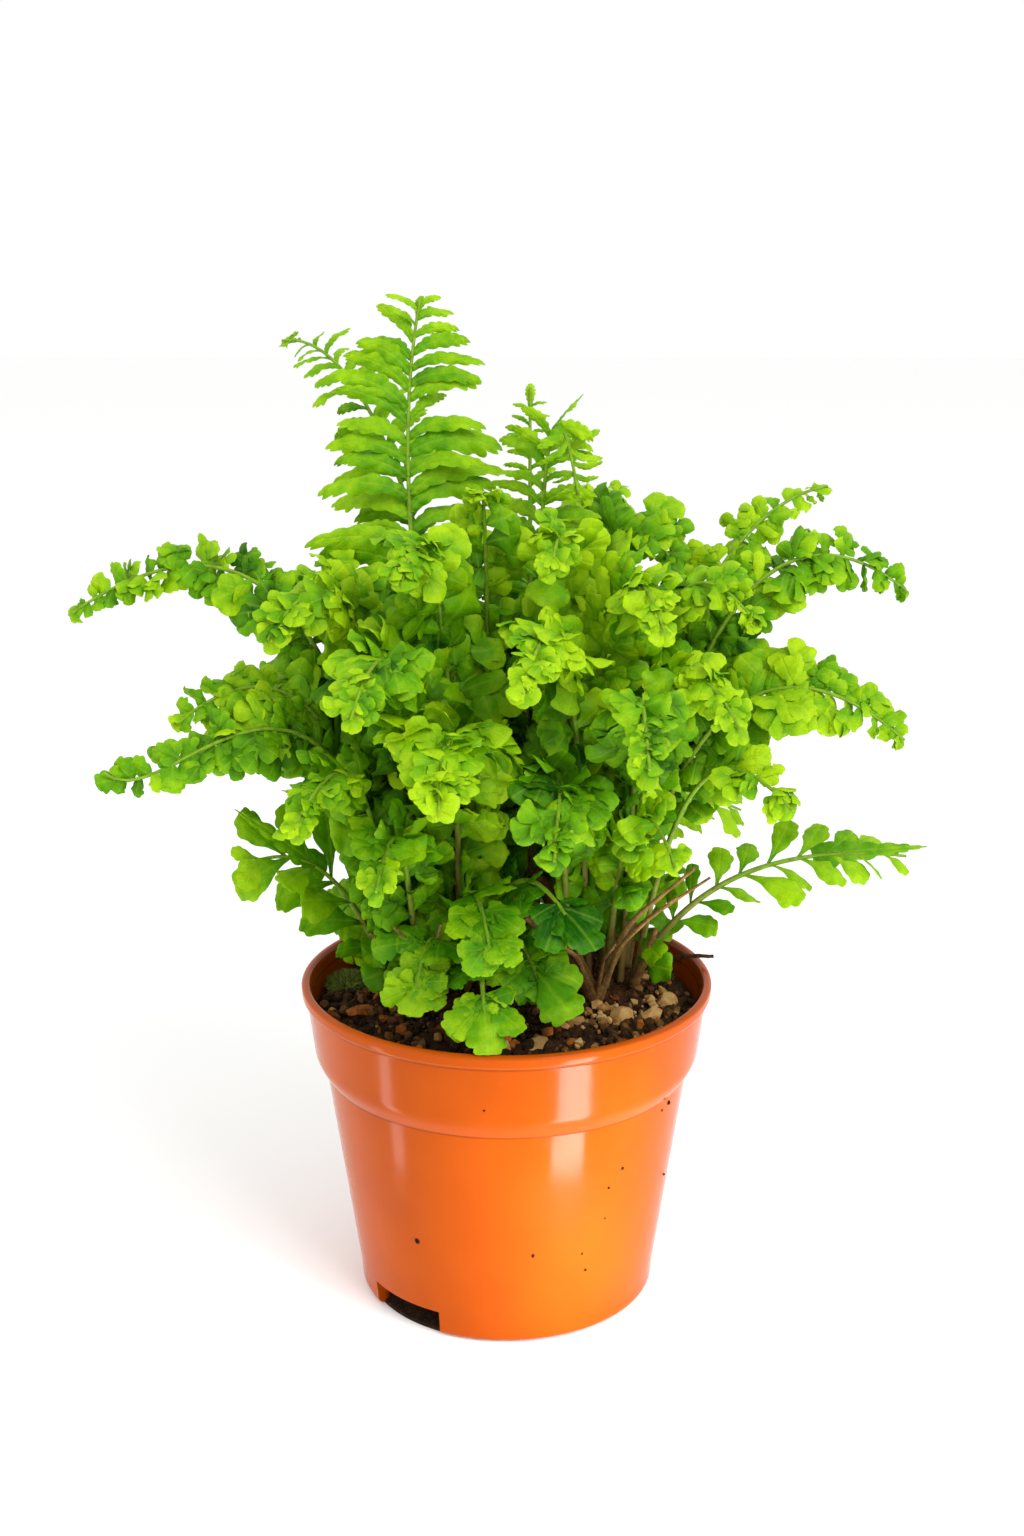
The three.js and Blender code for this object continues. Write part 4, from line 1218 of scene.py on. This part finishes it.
# %% Kinds of frond
# shape and grid: a leaflet's outline, and its steps along and across. first: the ring of the lowest
# leaflets. pitch: the way between leaflets. width: as a share of the length. lean and lift: how far a
# leaflet points to the tip and up, in radians. jitter: how unevenly leaflets are set. length: as a
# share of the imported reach. least, most, tip: the shortest, the longest and the end leaflet. tint:
# how fresh the green is. mottle: how much that varies. to_light: how far the blade turns to the
# window. low_share: how long the lowest leaflets are. tip_shape: an end leaflet of another outline.
KINDS = {
    "tall": dict(shape="club", grid=(40, 6), first=4.4, pitch=0.0056, width=0.44, lean=0.76, lift=0.12,
                 jitter=0.24, length=1.30, least=0.0085, most=0.0235, tint=0.58, mottle=0.06, to_light=0.7,
                 low_share=0.95, tip=0.0075,
                 traits=dict(teeth=8, depth=0.30, arch=0.8, cup=0.12, ruffle=0.12, waves=2.2, twist=0.18,
                             sweep=0.62, pucker=0.08)),
    "long": dict(shape="round", grid=(22, 4), first=4.2, pitch=0.0055, width=0.95, lean=0.40, lift=0.15,
                 jitter=0.40, length=1.30, least=0.0068, tint=0.56, to_light=0.85, low_share=0.8, tip=0.0070,
                 traits=dict(teeth=4, depth=0.26, arch=0.7, cup=0.18, ruffle=0.16, waves=1.4, twist=0.3,
                             sweep=0.05, pucker=0.09)),
    "low": dict(shape="spoon", grid=(24, 6), first=5.0, pitch=0.0088, width=0.56, lean=0.80, lift=0.15,
                jitter=0.20, length=1.75, least=0.0120, tint=0.66, to_light=0.75, low_share=0.8, tip=0.0340,
                traits=dict(teeth=5, depth=0.20, arch=0.5, cup=0.10, ruffle=0.08, waves=1.2, twist=0.3,
                            sweep=0.10, pucker=0.06),
                tip_shape=("spear", 0.30, dict(teeth=9, depth=0.45, arch=0.3, cup=0.05, ruffle=0.05,
                                               waves=2.0, twist=0.1, pucker=0.05))),
    "young": dict(shape="fan", grid=(20, 4), first=5.4, pitch=0.0135, width=1.0, lean=0.60, lift=0.15,
                  jitter=0.22, length=1.2, least=0.0160, tint=0.54, to_light=0.6, low_share=0.8, tip=0.0195,
                  traits={}),
    "ruffled": dict(shape="lobed", grid=(16, 4), first=1.8, pitch=0.0076, width=0.80, lean=0.50, lift=0.30,
                    jitter=0.50, length=1.30, least=0.0115, tint=0.64, to_light=0.6, low_share=0.95,
                    tip=0.0090,
                    traits=dict(teeth=3, depth=0.26, arch=1.0, cup=0.18, ruffle=0.20, waves=1.5, twist=0.5,
                                sweep=0.0, pucker=0.10)),
}
MOTTLE = 0.11
print("kinds of frond:", list(KINDS))

# %% [markdown]
# ### Turning to the light
# The plant has grown towards a window in front of it, so each blade turns part of the way to the
# light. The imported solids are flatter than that, so the turn is made here, about the midrib, and
# differs from kind to kind. Inside the mound it is dim, which the tones of the leaflets follow.

# %% Turn and shade
LIGHT_FROM = unit(np.array([0.0, -0.8, 0.6]))
MOUND_MIDDLE, MOUND_HALF = np.array([0.0, 0.0, 0.150]), np.array([0.080, 0.085, 0.085])


def rotated(vectors, axes, angles):
    """Turns each vector about its own axis."""
    c, s = np.cos(angles)[:, None], np.sin(angles)[:, None]
    return vectors * c + np.cross(axes, vectors) * s + axes * np.sum(axes * vectors, 1)[:, None] * (1 - c)


def turn_to_light(ahead, above, share):
    """The blade's upper side, turned about its midrib by a share of the way to the light."""
    target = unit(LIGHT_FROM - ahead * (ahead @ LIGHT_FROM)[:, None])
    above = unit(above * (1 - share) + target * share)
    return np.cross(ahead, above), above


def depth_in_mound(places):
    """0 in the middle of the mound and 1 on its outside."""
    return np.linalg.norm((places - MOUND_MIDDLE) / MOUND_HALF, axis=1)


print("light comes from", [round(float(part), 2) for part in LIGHT_FROM])

# %% [markdown]
# ### The gap over the old stalks
# On the right of the middle the leaves part, and the old stalks and straw stems show through. Deleting
# leaflets by hand would have to be done again after every change, so the gap is described instead: two
# arms that rise from the crown, and no leaflet in front of them.

# %% A gap in the leaves
# The foot and the end of each arm: x and height as they look from the front, in millimetres.
GAP_ARMS = (((24, 98), (5, 140)), ((31, 98), (54, 148)))
GAP_HALF_WIDTH = 4.0 * MM
GAP_FRONT, GAP_BACK = -0.055, 0.008


def in_gap(places):
    """Whether a leaflet would hide the old stalks and straw stems from the front."""
    seen = np.stack([places[:, 0], places[:, 2] + 0.5 * places[:, 1]], 1)
    inside = np.zeros(len(places), bool)
    for start, end in GAP_ARMS:
        start, way = np.array(start) * MM, (np.array(end) - np.array(start)) * MM
        share = np.clip((seen - start) @ way / (way @ way), 0, 1)
        inside |= np.linalg.norm(seen - start - share[:, None] * way, axis=1) < GAP_HALF_WIDTH
    return inside & (places[:, 1] < GAP_BACK) & (places[:, 1] > GAP_FRONT)


print("the gap has", len(GAP_ARMS), "arms,", 2 * GAP_HALF_WIDTH / MM, "mm wide")

# %% [markdown]
# ### Setting the leaflets
# Leaflets sit along the midrib in pairs, closer together where they are small. Each gets a place, a
# way to point, an upper side, a length and a tone. Everything is worked out for the whole frond at
# once with arrays, and a seeded dice makes each leaflet a little different from its neighbours.


# %% Where leaflets sit
def leaflet_spots(run, reach, kind):
    """Where along the midrib the leaflets sit: closer together where they are small."""
    last = len(run.middle) - 1
    teeth = np.arange(BARE_RINGS + 2, last, 2)
    rings = np.arange(0, last, 0.2)
    travel = run.distance(rings)
    here, end = np.interp(kind["first"], rings, travel), np.interp(last - 0.8, rings, travel)
    spots = []
    while here < end:
        spots.append(np.interp(here, travel, rings))
        share = np.interp(spots[-1], teeth, reach[teeth].max(1)) / reach[teeth].max()
        here += kind["pitch"] * (0.55 + 0.45 * share)
    return np.array(spots), teeth


print("pairs on tall_frond_1:", len(leaflet_spots(sample_run, sample_reach, KINDS["tall"])[0]))


# %% Which way leaflets point
def set_leaflets(run, reach, kind, dice):
    """The leaflets of a frond from the lowest up, the end one last, and the ring each sits at."""
    last = len(run.middle) - 1
    spots, teeth = leaflet_spots(run, reach, kind)
    rings = np.repeat(spots, 2)
    which = np.tile([0, 1], len(spots))
    rings = rings + np.where(which == 0, -0.2, 0.2) + 0.15 * dice.uniform(-1, 1, len(rings))
    place, ahead, _, above = run.at(rings)
    across, above = turn_to_light(ahead, above, kind["to_light"])
    wide = np.stack([np.interp(rings, teeth, reach[teeth, k]) for k in (0, 1)], 1)
    span = np.maximum(wide[np.arange(len(rings)), which], 0.75 * wide.max(1))
    below = np.clip((BARE_RINGS + 2 - rings) / BARE_RINGS, 0, 1)
    span = span * (1 - (1 - kind["low_share"]) * below)
    sign = np.where(which == 0, -1.0, 1.0)[:, None]
    youth = np.clip((rings - BARE_RINGS) / (last - BARE_RINGS), 0, 1)
    lean = kind["lean"] + 0.35 * youth ** 2 + 0.4 * kind["jitter"] * dice.normal(size=len(rings))
    out = unit(across * sign * np.cos(lean)[:, None] + ahead * np.sin(lean)[:, None])
    raise_by = kind["lift"] + 0.6 * kind["jitter"] * dice.normal(size=len(rings))
    out = unit(out + above * np.sin(raise_by)[:, None])
    normal = unit(above - out * np.sum(above * out, 1)[:, None])
    normal = rotated(normal, out, sign[:, 0] * -0.25 + kind["jitter"] * dice.normal(size=len(rings)))
    length = np.maximum(span * kind["length"], kind["least"] * (1 - 0.35 * youth))
    if kind["shape"] == "lobed":
        length = length * (1.22 ** dice.uniform(-1, 1) * (1 - 0.16 * youth ** 2))
    length = np.minimum(length * (1 + 0.10 * dice.normal(size=len(rings))), kind.get("most", 1.0))

    tip_length = kind["tip"] * (1 + 0.08 * dice.normal())
    tip_ring = np.interp(run.travel[-1] - 0.8 * tip_length, run.travel, np.arange(last + 1))
    tip_place, tip_ahead, _, tip_above = run.at([tip_ring])
    tip_above = turn_to_light(tip_ahead, tip_above, kind["to_light"])[1]
    place, out, normal = (np.vstack(p) for p in ((place, tip_place), (out, tip_ahead), (normal, tip_above)))
    length = np.append(length, tip_length)
    mirror = np.append(sign[:, 0], 0.0)
    width = length * kind["width"] * (1 + 0.12 * dice.normal(size=len(length)))
    youth, below, rings = np.append(youth, 1.0), np.append(below, 0.0), np.append(rings, last)
    fresh = kind["tint"] + 0.07 * dice.normal() + kind.get("mottle", MOTTLE) * dice.normal(size=len(length))
    fresh = fresh + 0.07 * (youth - 0.4) - 0.12 * below
    if kind["shape"] == "fan":
        fresh = fresh - 0.20 * np.tanh(place[:, 0] / 0.012)
    # Painted shade: the deeper a leaflet sits inside the mound, the darker its green.
    fresh = fresh - 0.18 * (1 - ease(depth_in_mound(place), 0.45, 0.95))
    names = ("place", "out", "normal", "length", "width", "mirror", "fresh", "youth")
    return dict(zip(names, (place, out, normal, length, width, mirror, fresh, youth))), rings


sample_leaflets, sample_rings = set_leaflets(sample_run, sample_reach, KINDS["tall"],
                                             np.random.default_rng(1))
print("longest leaflet of tall_frond_1:", round(sample_leaflets["length"].max() / MM, 1), "mm")

# %% [markdown]
# ### Leaflets that are split into lobes
# The leaflets of the mound are themselves divided, and their lobes overlap and curl like parsley. One
# sheet with a deep outline would fold through itself when bent so far, so a divided leaflet is a
# narrow web with small sheets along it, each tilted its own way. The young fans are made alike, with
# five broad lobes side by side.

# %% Lobes
# The web comes first, then the lobes. For each: share of the way along the leaflet, swing to the
# side in radians, length and width as shares of the leaflet's length, and how unevenly it is set.
RUFFLED_LOBES = ((0.0, 0.0, 0.86, 0.36, 0.10), (0.16, -1.0, 0.50, 0.52, 0.30), (0.21, 1.0, 0.50, 0.52, 0.30),
                 (0.42, -0.9, 0.54, 0.58, 0.30), (0.46, 0.9, 0.54, 0.58, 0.30),
                 (0.62, -0.4, 0.52, 0.54, 0.28), (0.60, 0.45, 0.52, 0.52, 0.28))
YOUNG_LOBES = ((0.0, 0.0, 0.62, 0.50, 0.05), (0.26, 0.0, 0.74, 0.56, 0.12), (0.20, -0.80, 0.62, 0.48, 0.16),
               (0.20, 0.80, 0.62, 0.48, 0.16), (0.10, -1.45, 0.44, 0.36, 0.2), (0.10, 1.45, 0.44, 0.36, 0.2))
RUFFLED_TRAITS = dict(teeth=3, depth=0.12, arch=0.8, cup=0.22, ruffle=0.12, waves=1.0, twist=0.25,
                      pucker=0.06)
YOUNG_TRAITS = dict(teeth=5, depth=0.22, arch=0.5, cup=0.12, ruffle=0.06, waves=1.2, twist=0.15, pucker=0.08)
LOWEST_DIVIDED_RING = 4.2
DIVIDED_LENGTH = 0.0088
WHOLE_SHARE = 0.2


def is_divided(leaflets, rings, kind, dice):
    """Which leaflets are split: every fan, the longer round ones, and most of those in the mound."""
    if kind["shape"] == "fan":
        return np.ones(len(rings), bool)
    if kind["shape"] == "round":
        return leaflets["length"] > DIVIDED_LENGTH
    if kind["shape"] == "lobed":
        return (rings > LOWEST_DIVIDED_RING) & (dice.uniform(size=len(rings)) > WHOLE_SHARE)
    return np.zeros(len(rings), bool)


def split_into_lobes(leaflets, lobes, full_bend, mottle, dice):
    """A divided leaflet: a narrow web with lobes along it, each tilted its own way."""
    place, out, normal, length = (leaflets[name] for name in ("place", "out", "normal", "length"))
    across = np.cross(out, normal)
    parts = []
    for share, side, size, wide, wobble in lobes:
        reach = length * (1 + 0.05 * dice.normal(size=len(length)))
        bend = full_bend * share
        ahead = out * math.cos(bend) - normal * math.sin(bend)
        above = normal * math.cos(bend) + out * math.sin(bend)
        start = place + (out * math.sin(bend) - normal * (1 - math.cos(bend))) * (reach / full_bend)[:, None]
        swing = side + 0.7 * wobble * dice.normal(size=len(length))
        way = ahead * np.cos(swing)[:, None] + across * np.sin(swing)[:, None]
        way = unit(way + above * (0.36 * wobble + wobble * dice.normal(size=len(length)))[:, None])
        face = unit(above - way * np.sum(above * way, 1)[:, None])
        face = rotated(face, way, wobble * dice.normal(size=len(length)))
        parts.append((start, way, face, reach * size, reach * wide))
    made = {name: np.concatenate([part[k] for part in parts])
            for k, name in enumerate(("place", "out", "normal", "length", "width"))}
    count = len(made["length"])
    made["mirror"] = np.zeros(count)
    made["fresh"] = np.tile(leaflets["fresh"], len(lobes)) + mottle * dice.normal(size=count)
    made["youth"] = np.tile(leaflets["youth"], len(lobes))
    return made


print("lobes of a ruffled leaflet:", len(RUFFLED_LOBES), "and of a young one:", len(YOUNG_LOBES))

# %% [markdown]
# ### One whole frond
# A frond is put together in batches, because leaflets that share an outline can be bent all at once:
# the end leaflet where it differs, the whole leaflets, and the lobes of the divided ones. The points
# of all batches then follow those of the stem, with two tints and the way along the leaflet stored
# for the finish.


# %% Sort the leaflets
def pick(leaflets, which):
    return {name: values[which] for name, values in leaflets.items()}


def batches_of(leaflets, rings, kind, dice):
    """(leaflets, traits, shape, grid) for each group of leaflets that share an outline."""
    divided = is_divided(leaflets, rings, kind, dice)
    reaches = [leaflets["place"] + share * leaflets["length"][:, None] * leaflets["out"]
               for share in (0, 0.45, 0.8)]
    hidden = np.any([in_gap(points) for points in reaches], axis=0) & (kind["shape"] != "spoon")
    hidden[-1] = False
    whole, divided = ~divided & ~hidden, divided & ~hidden
    batches = []
    if "tip_shape" in kind:
        shape, slim, traits = kind["tip_shape"]
        whole[-1] = False
        end = pick(leaflets, slice(-1, None))
        batches.append((dict(end, width=end["length"] * slim), traits, shape, (44, 6)))
    if whole.any():
        batches.append((pick(leaflets, whole), kind["traits"], kind["shape"], kind["grid"]))
    if divided.any() and kind["shape"] == "fan":
        lobes = split_into_lobes(pick(leaflets, divided), YOUNG_LOBES, 0.5, 0.03, dice)
        batches.append((lobes, YOUNG_TRAITS, "fan", kind["grid"]))
    elif divided.any():
        lobes = split_into_lobes(pick(leaflets, divided), RUFFLED_LOBES, 0.9, 0.07, dice)
        batches.append((lobes, RUFFLED_TRAITS, "round", (9, 4)))
    return batches


sample_batches = batches_of(sample_leaflets, sample_rings, KINDS["tall"], np.random.default_rng(1))
print("batches of tall_frond_1:", len(sample_batches))


# %% Lay out one frond
def lay_out(node, kind, dice):
    """Points and faces of a frond, with a tint for each point and its way along its leaflet."""
    middle, side, reach = read_frond(node)
    run = Run(middle, side)
    stem_points, stem_faces, stem_tints = grow_midrib(run)
    leaflets, rings = set_leaflets(run, reach, kind, dice)
    points, faces, tints, along = [stem_points], [stem_faces], [stem_tints], [np.zeros(len(stem_points))]
    for batch, traits, shape, grid in batches_of(leaflets, rings, kind, dice):
        leaf_points, leaf_faces, marks, size = grow_leaflets(batch, traits, shape, grid, dice)
        faces.append(leaf_faces + sum(len(p) for p in points))
        points.append(leaf_points)
        fresh, youth = np.repeat(np.clip(batch["fresh"], 0, 1), size), np.repeat(batch["youth"], size)
        tints.append(np.stack([fresh, youth, 0.5 + 0.5 * marks[:, 1], 0 * fresh], 1))
        along.append(marks[:, 0])
    return np.vstack(points), np.vstack(faces), np.vstack(tints), np.concatenate(along)


print("tall_frond_1:", len(lay_out("tall_frond_1", KINDS["tall"], np.random.default_rng(1))[1]), "faces")

# %% [markdown]
# ### Leaf finish
# A fern leaflet is a thin, slightly glossy sheet that also lets light through, and that is why the
# mound seems to glow. The finish mixes a standard surface with a little translucence. Its colour goes
# from deep to fresh green, leaf by leaf and from the foot of a leaflet to its end, and leaflets deep
# inside the mound carry painted shade in their tone. Pale veins fan out from the rib, and the stems
# turn from straw at the foot to green at the tip.

# %% Leaf finish
GLOW_SHARE = 0.30


def leaf_finish(name, deep, middle, fresh, fanned=False):
    """A leaf of three greens, with veins that slant off the rib or, when fanned, run side by side."""
    leaf = Finish(name)
    tint = leaf.node("Attribute", {"attribute_name": "tint"})
    parts = leaf.node("SeparateColor", None, Color=tint.outputs["Color"])
    green_and_shade, youth, across = parts.outputs[0], parts.outputs[1], parts.outputs[2]
    is_stem = tint.outputs["Alpha"]
    along = leaf.node("Attribute", {"attribute_name": "along"}).outputs["Fac"]
    off_rib = leaf.math("ABSOLUTE", leaf.math("SUBTRACT", leaf.math("MULTIPLY", across, 2.0), 1.0))
    blotches = leaf.noise(210, 4, 0.6)
    grain = leaf.noise(1300, 3, 0.6)
    # The first tint is the leaflet's green level, with the painted shade of the mound in it.
    level = leaf.math("ADD", green_and_shade, leaf.math("MULTIPLY", leaf.math("SUBTRACT", blotches, 0.5), 0.75))
    level = leaf.math("ADD", level, leaf.range(along, 0.0, 0.9, -0.24, 0.08))
    green = leaf.ramp(level, [(0.0, deep), (0.42, middle), (0.86, fresh)])
    slant = leaf.math("SUBTRACT", leaf.math("MULTIPLY", along, 10.0), leaf.math("MULTIPLY", off_rib, 2.6))
    slant = leaf.math("MULTIPLY", off_rib, 3.0) if fanned else slant
    ripple = leaf.math("ABSOLUTE", leaf.math("SINE", leaf.math("MULTIPLY", slant, math.pi)))
    veins = leaf.range(ripple, 0.0, 0.3, 1, 0)
    rib = leaf.range(off_rib, 0.0, 0.12, 1, 0)
    lines = leaf.math("MAXIMUM", leaf.math("MULTIPLY", veins, 0.5), rib)
    green = leaf.mix(leaf.math("MULTIPLY", lines, 0.22), green, rgb(186, 220, 60))
    green = leaf.mix(leaf.range(off_rib, 0.86, 1.0, 0, 0.3), green, rgb(168, 206, 40))
    green = leaf.mix(leaf.range(grain, 0.35, 0.7, 0.14, 0), green, deep)
    stalk = leaf.ramp(youth, [(0.04, rgb(112, 92, 44)), (0.22, rgb(122, 128, 48)), (0.5, rgb(120, 160, 34))])
    stalk = leaf.mix(leaf.range(leaf.noise(420, 4), 0.45, 0.7, 0, 0.5), stalk, rgb(82, 62, 26))
    colour = leaf.mix(is_stem, green, stalk)
    leaf.set(Base_Color=colour, Roughness=leaf.range(grain, 0.3, 0.7, 0.40, 0.58), Specular_IOR_Level=0.16)
    height = leaf.math("ADD", leaf.math("MULTIPLY", lines, -0.6), leaf.math("MULTIPLY", grain, 0.5))
    bumped = leaf.bump(height, 0.55, 0.00035)
    leaf.set(Normal=bumped)
    glow = leaf.node("BsdfTranslucent", None, Color=leaf.mix(0.35, colour, rgb(128, 214, 12)), Normal=bumped)
    share = leaf.math("MULTIPLY", leaf.math("SUBTRACT", 1.0, is_stem), GLOW_SHARE)
    both = leaf.node("MixShader", None, i0=share, i1=leaf.surface.outputs[0], i2=glow.outputs[0])
    leaf.feed(leaf.output.inputs["Surface"], both.outputs[0])
    return leaf.material


leaf_finishes = {
    "leaf_fresh": leaf_finish("fresh_leaf", rgb(20, 82, 0), rgb(110, 178, 1), rgb(190, 230, 14)),
    "leaf_deep": leaf_finish("deep_leaf", rgb(18, 78, 0), rgb(100, 168, 1), rgb(180, 224, 14)),
}
fan_leaf = leaf_finish("fan_leaf", rgb(24, 92, 4), rgb(88, 160, 6), rgb(172, 216, 8), fanned=True)
print("leaf finishes:", list(leaf_finishes))

# %% [markdown]
# ### Grow every frond
# All fronds are grown by the same steps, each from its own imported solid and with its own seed, so that
# one can be changed without moving the others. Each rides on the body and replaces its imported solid.

# %% Grow every frond
frond_nodes = [node for node in frame["nodes"] if "_frond_" in node]
FIRST_SEED = 100
total = 0
for number, node in enumerate(sorted(frond_nodes)):
    kind = KINDS[node.split("_")[0]]
    points, faces, tints, along = lay_out(node, kind, np.random.default_rng(FIRST_SEED + number))
    finish = fan_leaf if node.startswith("young") else leaf_finishes[slot_of[node]]
    piece = make_piece(node + "_leafy", points, faces, finish, slot_of[node], [node], sharp=75)
    add_tints(piece, tints)
    layer = piece.data.attributes.new("along", "FLOAT", "POINT")
    layer.data.foreach_set("value", np.asarray(along, np.float32))
    total += len(faces)
print("fronds:", len(frond_nodes), "with", total, "faces")
